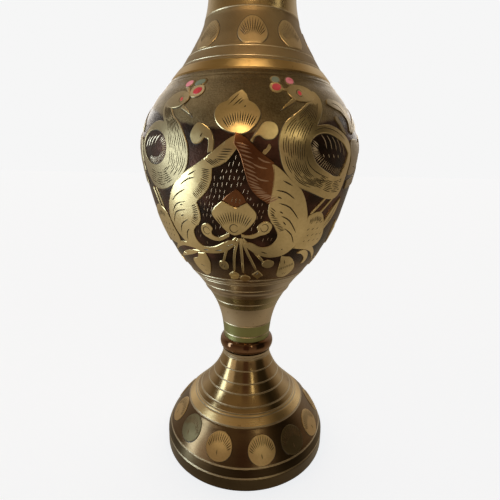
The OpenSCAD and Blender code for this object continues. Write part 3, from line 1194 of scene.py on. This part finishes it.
RIGHT_CUFF = [(-5.6, 72, 1), (-6.2, 67.4, 1), (-3.6, 63.4), (-1.6, 57), (0.4, 51.4), (4.2, 47),
              (9.8, 43.8, 1), (11, 50), (11.2, 56), (10.2, 61, 1), (4.2, 65), (-0.8, 69.2)]
LEFT_OVAL = (-48.4, 66.4)  # the left bird's wing
LEFT_OVAL_SIZE = (10.2, 7.2)  # half its width in degrees, and half its height in mm
RIGHT_WING = [(26.2, 67.8), (28.2, 70.8), (32, 72.4), (36.8, 72.5), (42, 71), (47, 68.8), (51, 65.4, 1),
              (49.8, 60.6), (47.2, 55.8, 1), (43, 55.6), (38.4, 57), (33.4, 59), (29, 62)]
LEFT_PEACOCK = [(-38.5, 82, 1), (-36, 79), (-31, 75), (-27.5, 70), (-26, 65), (-27, 59.5), (-30.5, 55),
                (-35, 52), (-41, 49.5), (-48, 48.5), (-55, 50), (-60, 56), (-61, 64), (-58, 71.5),
                (-52, 76), (-46.5, 77.3), (-41.8, 76.6, 1), (-44.4, 80), (-46, 84.4), (-43.5, 87.6),
                (-39, 86, 1)]
RIGHT_PEACOCK = [(28, 85.6, 1), (22, 81), (15, 76), (12, 70), (12.6, 64), (15, 58), (21, 52), (30, 48.8),
                 (40, 46), (48, 45.6), (52, 48.6), (53.6, 54.6), (54.4, 63), (52, 69.6), (45.6, 74),
                 (37.6, 76.2), (30.2, 75.4, 1), (33, 79), (35.4, 83), (36, 87.4), (33.5, 90.6), (30, 90, 1)]


def lotus_and_leaves(surface):
    """The middle of the panel: two flowers, two scrolled leaves and the dark heart between them."""
    relief = Relief(surface)
    top_lines = [[(-9.5, 82), (-4.5, 87.6)], [(-7.4, 81.6), (-3.2, 85.6)], [(-5, 82.4), (-2.8, 84.6)],
                 [(-2.4, 81.2), (-1.6, 82)]]
    relief.plaque(UPPER_LOTUS, fan((-3.8, 67), 7.2, 12.6, 54, 126, 15) + top_lines, width=0.5, shade_skirt=0.3)
    relief.plaque([(-22, 75.4), (-25, 71), (-23.5, 67.6), (-20.5, 67.6), (-18.4, 69.6, 1), (-16.6, 68.6),
                   (-17, 64, 1), (-14.6, 64.4, 1), (-14.4, 69), (-16.6, 73)],
                  [[(-20.4, 69.4), (-19.2, 71.4)]], shade_skirt=0.3)
    relief.plaque([(3, 72), (6, 75.6), (10.4, 75.4), (11.8, 72.4), (10, 69.6), (6.6, 69.2), (4, 70.6),
                   (2.4, 70, 1), (1.4, 68, 1), (0.4, 68.6, 1)], shade_skirt=0.3)
    relief.plaque([(4.6, 62.8, 1), (6.6, 63.6), (8.8, 66.2), (8, 67.6), (6.8, 65.8), (5.8, 65.2)], top=0.3,
                  width=0.3)
    relief.on_belly("upper_flower", "raised")

    relief = Relief(surface)
    veins = [[(-41, 43.5), (-36, 47), (-30, 49.5)], [(-42.5, 38.5), (-38, 42.5), (-31, 44)],
             [(-44.5, 33), (-40, 38.6), (-32, 40.4)], [(-41, 28.5), (-38, 33), (-32, 36)],
             [(-38, 24.6), (-36, 29), (-33.4, 31)], [(-33, 51), (-28, 53.6), (-24, 54.4)],
             [(-28, 55), (-23, 57.2)], [(-12.4, 23.6), (-8, 25.2)], [(-20, 20.8), (-15, 21.6)],
             [(-28, 20.6), (-24, 20.8)], [(-36, 42), (-33.4, 42.8)], [(-37, 37), (-34.4, 37.8)]]
    rim = [(-30, 30.4), (-26.6, 34), (-24.7, 37), (-24.3, 40.6), (-25, 43.6)]
    middle_rim = [(-24, 44.8), (-21, 47.2), (-18.2, 50), (-16.2, 54.2), (-15.6, 57.6)]
    upper_rim = [(-14, 58.6), (-9.6, 60.6), (-5.4, 65.6)]
    relief.plaque(LEFT_LEAF, fringe(rim, 14, 0.5, 3.6, 8) + fringe(middle_rim, 18, 0.5, 4)
                  + fringe(upper_rim, 11, 0.5, 4.6, 36), width=0.46, bold=veins)
    veins = [[(12, 50), (17, 49), (22, 46)], [(14, 44.6), (20, 42.6), (26, 37)],
             [(16, 39), (21, 36.6), (26.6, 30.4)], [(18, 33.6), (23.6, 30), (27, 25)],
             [(14.6, 54), (20, 51.6)], [(15, 41), (17, 40)], [(20, 22), (21, 22.4)], [(7, 21.6), (12, 20)],
             [(13, 47.4), (15.4, 46.4)], [(17.4, 36.4), (19.6, 34.6)]]
    rim = [(15.6, 31.4), (13.6, 33.4), (11.4, 36), (9.6, 40), (9.8, 43.6)]
    relief.plaque(RIGHT_LEAF, fringe(rim[::-1], 13, 0.7, 3.4, -30), top=0.52, width=0.46, bold=veins)
    relief.on_belly("scrolled_leaves", "raised")

    # The cuff and the lower flower's tip are darker red brass: a painted reflection of the dark room in
    # front.
    relief = Relief(surface)
    relief.plaque(RIGHT_CUFF, top=CUFF_TOP)
    relief.plaque(LOWER_TIP, [[(-8, 44.4), (-6.6, 47)], [(-6, 44), (-5, 46.8)], [(-4.4, 44.2), (-3.6, 46.2)]],
                  width=0.42)
    relief.on_belly("tinted_petals", "raised_painted_reflection", cut="bright")

    relief = Relief(surface, CUFF_TOP * MM - GROUND_DROP)
    rim = [(-6, 68.4), (-3.6, 63.4), (-1.6, 57), (0.4, 51.4), (4.2, 47), (9, 44.4)]
    strokes = fringe(rim, 19, 0.1, 5.6, -40)
    strokes += [[(1.6, 60.2), (4.4, 59), (7.8, 58.4)], [(3.4, 62.6), (6, 61.2), (9, 60.6)],
                [(2.6, 55.2), (5.4, 54), (8.8, 53.6)]]
    relief.strokes(strokes, 0.62, 0.08)
    relief.on_belly("cuff_strokes", "cuff_stroke", "cut_lines")

    relief = Relief(surface)
    ring = arc((-7, 33), 2.1, 1.9, 20, 340, 11)
    relief.plaque(LOWER_LOTUS, fan((-7, 26), 9.2, 15, 55, 125, 15) + [ring], width=0.46)
    relief.plaque([(-10, 28.6, 1), (-15, 26.4), (-19.6, 26.4), (-24.4, 28.6), (-25.6, 31.4), (-24, 34),
                   (-20.6, 34.6), (-18.6, 32.4), (-19.6, 29.8), (-16.4, 28.2), (-12, 29.8), (-9.4, 31, 1)],
                  [arc((-22.2, 31.2), 1.9, 1.8, 0, 330)], top=0.42, width=0.42)
    relief.plaque([(-3, 28.6, 1), (2.4, 28), (6.4, 29.4), (10.4, 30.6), (12.4, 33.6), (11, 36), (7.4, 36.2),
                   (4.6, 33.8), (5.2, 31.4), (0.6, 29.8), (-3.6, 30.4, 1)],
                  [arc((8.4, 33.4), 1.9, 1.8, 170, 500)], top=0.42, width=0.42)
    stalks = (
        [(-6, 28.4), (-12, 22), (-16, 14)],
        [(-5, 28), (-8, 19), (-9.6, 8)],
        [(-4, 28), (-3.4, 18), (-3, 7)],
        [(-3.6, 28), (0.6, 19), (6.4, 9)],
        [(-2.6, 28), (4, 21), (10.4, 14.8)],
    )
    for stalk in stalks:
        relief.plaque(band(stalk, 1.5), top=0.34, sharp=True)
    relief.plaque(oval((-16.4, 12), 3.4, 3.1, 10, 20),
                  [[(-18.4, 11), (-17, 13)], [(-16.6, 10.4), (-15.2, 12.4)]])
    relief.plaque([(-14.6, 5.6, 1), (-10.4, 8.2, 1), (-6.4, 6.2), (-7.4, 2.8), (-12.6, 2.2)])
    relief.plaque(oval((-1.7, 2.9), 4.4, 2.5, 12))
    relief.plaque([(3.6, 6, 1), (7.8, 9.2, 1), (12.4, 5.4, 1), (8.6, 2.2, 1)], [[(5.4, 6), (8.2, 7.6)]])
    relief.plaque(oval((14, 13.4), 4.3, 2.7, 12, -8))
    relief.on_belly("lower_flower", "raised")

    heart = [(-4.6, 64.6, 1), (-9, 60), (-14.8, 57, 1), (-15.6, 53.6), (-18.6, 49), (-24.4, 44, 1),
             (-23.6, 39), (-25, 35.4), (-29, 31.4), (-30, 27.4), (-25, 23.6), (-19, 24.2), (-10, 27.6),
             (-5, 28), (2, 26.6), (8, 24.4), (13, 25.8), (15, 29), (12.6, 33), (9, 38), (8.6, 44),
             (3, 48.2), (-0.6, 52), (-2, 60)]
    scrolls = [oval((-22, 31), 4.6, 5.2), oval((-16.5, 27.8), 5, 2.4), oval((8.4, 33), 5, 4.4),
               oval((2.6, 29.4), 6, 2)]
    relief = Relief(surface)
    relief.strokes(scatter(heart, [LOWER_LOTUS, LOWER_TIP, *scrolls], 2.1, 2.7, 2.1, 74), 0.3, 0.1)
    relief.on_belly("heart_strokes", "faint", "cut_lines")


def lower_border(surface):
    """Petals, claws and thistles round the foot of the panel, and a palmette on each flank."""
    relief = Relief(surface)
    relief.plaque([(-27.4, 18.6, 1), (-33.4, 18.2, 1), (-36, 15), (-41.6, 13.4), (-43, 9), (-41, 4.6),
                   (-37.6, 2.2), (-31, 5), (-26.6, 12)],
                  [[(-35, 15.6), (-31.6, 11.6)], [(-37, 10.6), (-33, 9.4)], [(-35.4, 6.6), (-34.6, 5.6)]])
    relief.plaque([(21.6, 18.4, 1), (27.6, 17.4, 1), (31.4, 15.4), (36, 11.4), (37.8, 7.4), (35, 3.4),
                   (30, 2.4), (24.6, 4.2), (22.8, 10)],
                  [[(25, 15.6), (26.4, 12.6)], [(29, 4.6), (30, 6.6)], [(31, 4.4), (32, 6.4)]]
                  + fringe([(34.4, 10.6), (30, 9.4), (24.4, 8)], 8, 0.3, 2.4, 180))
    relief.plaque([(-30, 19.4, 1), (-36, 19.4), (-47, 17.2), (-60, 11.6, 1), (-48, 14.2), (-38, 16.6)],
                  top=0.4)
    relief.plaque([(-34, 20.4, 1), (-46, 20.4), (-62, 15.6, 1), (-50, 22), (-38, 23.4)], top=0.38)
    relief.plaque([(33, 18.6, 1), (38, 17.4), (42.6, 14), (43, 10.6, 1), (46.6, 11, 1), (46.6, 14.6),
                   (43, 18.4), (37, 20.6)], top=0.4)
    relief.plaque([(36, 21, 1), (46, 18), (58, 10.6, 1), (52, 17), (42, 22.6)], top=0.38)
    thistle = [(28, 22, 1), (31, 28), (31.4, 34), (32, 38.6, 1), (36, 40), (40, 39.8), (43, 38, 1),
               (45.6, 34.6), (50, 28), (49, 23), (40, 20.6)]
    scales = []
    for i in range(4):
        scales.append([(33.6 + 4 * i, 25), (35 + 4 * i, 26)])
        for j in range(1, 4):
            x, y = 33.4 + 3.6 * i + (j % 2) * 1.4, 25 + 3.1 * j
            scales.append([(x, y), (x + 1.8, y + 1)])
    relief.plaque(thistle, scales + fringe([(42.6, 38), (38, 39), (33, 37.6)], 13, 0.6, 3.2), width=0.42)
    relief.plaque([(43, 27, 1), (48, 30.4), (54, 38), (56, 46, 1), (50.4, 42), (45.6, 35)],
                  [[(46, 31.4), (50, 37), (53.6, 43)], [(48.4, 32.6), (52.4, 38.6)]], top=0.52, width=0.42)
    for foot, end in (
        ((33, 39), (42, 47)),
        ((39.4, 39), (48.4, 47)),
        ((-55.4, 39.6), (-58.4, 49)),
        ((-51.4, 39.6), (-54.4, 49)),
    ):
        relief.plaque(band([foot, between(foot, end, 0.5), end], 1.4), top=0.36, sharp=True)
    teasel = [(-47.6, 31, 1), (-48.8, 36), (-52, 39.6), (-58, 40.8), (-64, 39), (-69, 34), (-69.4, 27),
              (-62, 22), (-53, 20.8), (-46.6, 22, 1), (-46, 26)]
    scales = []
    for i in range(4):
        for j in range(3):
            x, y = -64 + 4 * i + (j % 2) * 1.6, 25 + 3 * j
            scales.append([(x, y), (x + 1.6, y + 1.2)])
    relief.plaque(teasel, scales + fringe([(-64, 37), (-58, 39), (-52.4, 38)], 14, 0.6, 3, 180), width=0.42)
    relief.on_belly("border_leaves", "raised")

    relief = Relief(surface)
    palmette = [(90, 44, 1), (86, 41), (81, 36), (80, 29), (84, 23), (90, 20.6), (96, 23), (100, 29),
                (99, 36), (94, 41)]
    relief.plaque(palmette, fan((90, 22.4), 5, 15, 32, 148, 13), width=0.46)
    for side in (-1, 1):
        def mirrored(points):
            return [(90 + side * (p[0] - 90), *p[1:]) for p in points]
        relief.plaque(mirrored([(92, 19.6, 1), (100, 18.4), (109, 20), (115, 26), (117, 34), (111, 30),
                                (103, 28.4), (97, 25)]),
                      [mirrored([(100, 21), (107, 23), (113, 29)]), mirrored([(98, 22.6), (105, 25)])],
                      width=0.42)
        relief.plaque(mirrored([(91, 17, 1), (99, 15), (106, 10.4), (110, 5.4), (103, 5), (96, 9)]),
                      [mirrored([(96, 12.4), (102, 9.4)]), mirrored([(99, 13), (105, 8)])], width=0.42)
    relief.plaque(oval((90, 7), 4.2, 3.6, 12), [[(88.6, 6), (91.4, 6)], [(90, 7.4), (90, 9)]])
    relief.on_belly("side_palmettes", "raised")


def peacocks(surface):
    """A pair of birds with streaked necks, one dark wing each, and plumes behind them."""
    relief = Relief(surface)
    wing_side = [(-44.8, 84), (-42.2, 78.8), (-39, 75.4), (-37.2, 70), (-36.6, 64), (-38.6, 59.4),
                 (-43, 56.8)]
    breast = [(-40, 83), (-36.6, 79.6), (-31.6, 75.6), (-28, 70), (-26.6, 64.6), (-28.6, 58.6), (-34, 53.4)]
    streaks = flow(wing_side, breast, 9, 0.2, 0.022)
    streaks += flow([(-40, 57), (-46, 56.2), (-54, 58)], [(-36, 53), (-46, 50), (-56, 52)], 6, 0.3, 0.04)
    streaks.append(arc(LEFT_OVAL, LEFT_OVAL_SIZE[0] + 1.9, LEFT_OVAL_SIZE[1] + 1.6, 100, 200, 12))
    relief.plaque(LEFT_PEACOCK, streaks, [oval(LEFT_OVAL, *LEFT_OVAL_SIZE, 20)], width=0.38, shade_skirt=0.3)
    relief.plaque(oval((-36.8, 86), 7.3, 3.9, 14, 6), [arc((-34, 85.8), 1.5, 1.5, 30, 330)], top=0.6,
                  width=0.3, shade_skirt=0.3)
    relief.plaque([(-32, 83.6, 1), (-28.6, 81), (-25.2, 77.6, 1), (-28.4, 79.6), (-33, 81.8, 1)], top=0.44,
                  shade_skirt=0.25)
    relief.plaque(oval((-26.6, 89.4), 4.3, 3.1, 12, 12), top=0.42, shade_skirt=0.25)
    relief.plaque(band([(-31, 88), (-33.6, 92.4)], 1.4), top=0.4, sharp=True)
    relief.plaque(band([(-30.4, 87.6), (-27, 92.6)], 1.2), top=0.36, sharp=True)
    relief.on_belly("left_peacock", "raised_dull")

    relief = Relief(surface)
    breast = [(29, 85), (22.6, 80.2), (16, 75.2), (13.2, 69.6), (13.8, 64), (16.4, 58.4), (22.2, 53),
              (31, 50.2)]
    wing_side = [(33.6, 86), (31, 79.4), (27, 74), (24.2, 69), (24, 63), (27, 57.4), (33, 54.6), (40, 53.8)]
    streaks = flow(breast, wing_side, 10, 0.18, 0.02)
    streaks += flow([(34, 56.2), (42, 53.6), (50, 55)], [(30, 52), (41, 48.6), (50.6, 48.4)], 7, 0.26, 0.03)
    streaks.append([(28.4, 73.2), (33, 74.6), (38, 74.4), (43, 73), (48, 70.4)])
    streaks.append([(24.4, 64), (25.8, 60.6), (29.6, 57.8), (34.4, 56), (39, 54.8)])
    relief.plaque(RIGHT_PEACOCK, streaks, [RIGHT_WING], width=0.38, shade_skirt=0.3)
    relief.plaque(oval((25, 88.9), 7.4, 4.1, 14, -4), [arc((24, 88.7), 1.6, 1.6, 30, 330)], top=0.6,
                  width=0.3, shade_skirt=0.3)
    relief.plaque([(20.6, 87, 1), (17, 84), (13, 80.4, 1), (16.6, 82.2), (21.6, 85.2, 1)], top=0.44,
                  shade_skirt=0.25)
    relief.plaque(oval((12.7, 91), 3.4, 2.7, 10), top=0.42, shade_skirt=0.25)
    relief.plaque(band([(20, 90.6), (15.6, 90.4), (12, 93.6)], 1.2), top=0.38, sharp=True)
    relief.plaque(band([(22, 92), (20.8, 95)], 1.6), top=0.4, sharp=True)
    relief.on_belly("right_peacock", "raised")

    relief = Relief(surface)
    edge = [(27.4, 70), (26.3, 67), (27, 64.4), (29, 61.9), (33.4, 58.9), (38.4, 57), (43, 55.6), (47, 55.8)]
    dashes = fringe(edge, 27, 0.15, 3.8, -12)
    dashes += shifted([(32, 72), (34, 69.6), (35.2, 66.4)],
                      [(3.2 * i, 0.1 * i - 0.16 * i * i) for i in range(5)])
    dashes += shifted([(33.2, 64.6), (34.2, 63)], [(3.2 * i, 0) for i in range(4)])
    dashes += rays(LEFT_OVAL, *LEFT_OVAL_SIZE, -120, 40, 21, 0.1, 3.4)
    dashes += shifted([(-42.6, 71.6), (-45.6, 70), (-47.6, 67.2)], [(-3 * i, -0.25 * i) for i in range(4)])
    relief.strokes(dashes, 0.4)
    relief.on_belly("wing_strokes", "bright", "cut_lines")

    relief = Relief(surface)
    plumes = (
        [(57, 73.6, 1), (65, 76.4), (72, 78.8), (80, 80.4), (86, 83.4), (85, 87.8), (79, 88.8), (73, 86),
         (65, 81.2), (56, 76.6, 1)],
        [(70, 65.6, 1), (78, 67.4), (86, 69.6), (88.4, 73), (85, 76.4), (78, 75.2), (69, 72.4, 1)],
        [(57, 49.6, 1), (66, 50.6), (76, 52.6), (84, 55.4), (88, 59.4), (85, 63.2), (79, 60.4), (69, 56, 1),
         (57, 53.6, 1)],
    )
    eyes = ((81, 84), (84, 72.8), (83.6, 59.2))
    starts = ((58, 75), (70.6, 68.6), (59, 51.6))
    rump = [(55.4, 63, 1), (53, 69.4), (56.6, 71.6), (64, 71.4), (70, 69.6), (69.4, 62), (66, 57), (58, 56),
            (55.4, 56.4, 1)]

    def left(point):
        return (-61.5 - 0.7 * (point[0] - 52), *point[1:])

    def right(point):
        return point

    for mirrored in (right, left):
        relief.plaque([mirrored(p) for p in rump], [[mirrored((60, 60)), mirrored((65, 59.4))]], top=0.4,
                      width=0.4)
        for k, plume in enumerate(plumes):
            ex, ey = eyes[k]
            tip = (ex - 5, ey - 1)
            middle = between(starts[k], tip, 0.5)
            barbs = [[starts[k], (middle[0], middle[1] + 0.4), tip], arc((ex, ey), 2.4, 2.1, 20, 340, 12)]
            for j in range(9):
                p = between(starts[k], tip, (j + 0.5) / 9)
                barbs += [[(p[0], p[1] + 0.9), (p[0] + 2, p[1] + 2.5)],
                          [(p[0], p[1] - 0.9), (p[0] + 2, p[1] - 2.3)]]
            barbs = [[mirrored(p) for p in stroke] for stroke in barbs]
            relief.plaque([mirrored(p) for p in plume], barbs, top=0.44 + 0.02 * k, width=0.4)
    relief.plaque([(40, 85.4, 1), (41, 88), (46, 88.4), (53, 87.6), (58.6, 84), (60, 78.6), (57, 74.4, 1),
                   (54, 74.6), (54.6, 79), (51, 82.6), (45, 84)], [[(43.6, 86.4), (50, 85.6), (55, 81.6)]],
                  top=0.4, width=0.4, shade_skirt=0.3)
    relief.plaque([(42.4, 79.4), (44.2, 80.6), (46.6, 78.6), (48.6, 75.4), (50, 73, 1), (47.2, 73.6),
                   (45, 76)], top=0.42, shade_skirt=0.25)
    relief.on_belly("tail_plumes", "raised_dull")


def enamel_drops(surface):
    """Coloured fill in the birds' eyes and crests."""
    # (centre, half width in degrees, half height in mm, height above the ground in mm)
    reds = (
        ((-34, 85.8), 1.0, 1.1, 0.62),
        ((24, 88.7), 1.2, 1.3, 0.62),
        ((-26.2, 89.4), 2.6, 1.7, 0.5),
        ((12.7, 91), 2.4, 1.9, 0.5),
    )
    pinks = (((-34, 94), 2.4, 1.8, 0.5), ((20.9, 95.2), 2.3, 2.0, 0.5))
    greens = (((-27, 94), 3.2, 1.8, 0.44), ((13, 95.2), 2.3, 1.9, 0.44))
    for material, slot, drops in (
        ("red", "enamel_red", reds), ("pink", "enamel_red", pinks), ("enamel_green", "enamel_green", greens)
    ):
        relief = Relief(surface)
        for centre, wide, high, top in drops:
            relief.plaque(oval(centre, wide, high, 10, 15), top=top)
        relief.on_belly(material + "_drops", material, slot)
    cups = (((-27, 94), 3.9, 2.5), ((13, 95.2), 3.0, 2.5), ((-34, 94), 3.1, 2.4), ((20.9, 95.2), 3.0, 2.6))
    relief = Relief(surface)
    for centre, wide, high in cups:
        relief.plaque(oval(centre, wide, high, 12, 15), top=0.36, shade_skirt=0.25)
    relief.on_belly("crest_cups", "raised_dull")


# ---------------------------------------------------------------- light
# name, azimuth and elevation in degrees, distance, (width, height) in m, watts, colour
FILLS = (
    ("fill_top", 0, 75, 1.6, (2.2, 2.2), 8, (1, 0.98, 0.95)),
    ("fill_left", -70, 30, 1.8, (1.6, 1.6), 4, (1, 0.98, 0.95)),
    ("fill_right", 70, 30, 1.8, (1.6, 1.6), 4, (1, 0.98, 0.95)),
)
LAMPS = (
    ("window", -77, -4, 1.5, (0.75, 1.1), 17, (0.72, 0.9, 1)),
    ("window_foot", -75, 6, 1.5, (0.3, 1.5), 7.8, (0.68, 0.88, 1)),
    ("window_top", -78, 20, 1.58, (0.6, 0.24), 1.6, (0.72, 0.92, 1)),
    ("lamp_above", 2, 87, 1.2, (0.4, 0.35), 2.8, (1, 0.76, 0.46)),
    ("lamp_front", -8, 31, 1.2, (0.24, 0.16), 1.5, (1, 0.7, 0.36)),
    ("lamp_neck", -4, 33, 1.2, (0.15, 0.36), 3.3, (1, 0.74, 0.42)),
    ("lamp_right", 24, 26, 1.4, (0.1, 0.6), 0.6, (1, 0.92, 0.62)),
    ("lamp_foot", -36, 30, 1.4, (0.35, 0.3), 0.72, (1, 0.84, 0.55)),
    ("lamp_bird", 46, 24, 1.4, (0.28, 0.34), 0.65, (1, 0.86, 0.55)),
    ("lamp_far", 74, 48, 1.5, (0.1, 1.0), 0.9, (1, 0.93, 0.68)),
    ("sky_left", -112, 50, 1.5, (0.5, 0.4), 0.15, (0.98, 0.97, 0.9)),
    ("lamp_shoulder", -92, 56, 1.5, (0.6, 0.4), 1.9, (1, 0.93, 0.82)),
    ("lamp_head", 92, 56, 1.5, (0.4, 0.4), 0.15, (1, 0.9, 0.78)),
    ("sky_back", 180, 24, 1.6, (2.8, 0.9), 26, (1, 0.96, 0.9)),
    ("window_glow", -60, 6, 1.5, (0.8, 1.3), 2.3, (1, 0.92, 0.78)),
)


def make_lights():
    """Soft boxes: three fills that no brass mirrors, a tall cool window on the left, and warm or pale lamps
    round about. flag_lights says which pieces each of them reaches."""
    for row in FILLS:
        area_light(*row, glossy=False)
    for row in LAMPS:
        area_light(*row, glossy=True)


def light_only(light, pieces):
    """Keeps a lamp off everything but some pieces."""
    receivers = bpy.data.collections.new(light + "_receivers")
    for piece in pieces:
        receivers.objects.link(piece)
    bpy.data.objects[light].light_linking.receiver_collection = receivers


def flag_lights():
    """Keeps every lamp off the floor, and most of them off the pieces that they would burn out."""
    pieces = [piece for piece in bpy.data.objects if "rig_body" in piece]
    vase = [piece for piece in pieces if piece["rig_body"] == "vase"]
    rest = [piece for piece in pieces if piece not in vase]

    def named(*starts):
        return [piece for piece in pieces if piece.name.startswith(starts)]

    def others(group, *starts):
        return [piece for piece in group if not piece.name.startswith(starts)]

    reached = {
        "window": others(vase, "shoulder_ring"),
        "window_foot": others(rest, "foot_medallions"),
        "window_top": others(vase, "shoulder_ring"),
        "lamp_right": others(pieces, "shoulder_ring"),
        "lamp_above": others(pieces, "belly"),
        "lamp_front": vase,
        "lamp_neck": named("neck", "mouth", "rim"),
        "lamp_foot": named("foot_medallions"),
        "lamp_bird": named("right_peacock"),
        "lamp_far": named("neck", "mouth", "belly"),
        "sky_left": named("neck", "mouth"),
        "lamp_shoulder": named("belly", "left_peacock"),
        "lamp_head": named("right_peacock"),
        "sky_back": named("belly", "left_peacock", "right_peacock", "tail"),
        "window_glow": named("foot_bell"),
    }
    for light, *_ in FILLS + LAMPS:
        light_only(light, reached.get(light, pieces))


make_camera()
make_world()
make_floor()
make_lights()
foot_skins()
stem_skin()
belly_skins()
neck_skins()
rim_skin()
stud_thread()
foot_medallions()
neck_medallions()
belly = Surface(
    curve_of("belly_lower", low_edge("belly_lower"), low_edge("belly_upper"), CURVE_STEP)
    + curve_of("belly_upper", low_edge("belly_upper") + CURVE_STEP, low_edge("shoulder_ring"), CURVE_STEP)
)
lotus_and_leaves(belly)
lower_border(belly)
peacocks(belly)
enamel_drops(belly)
flag_lights()
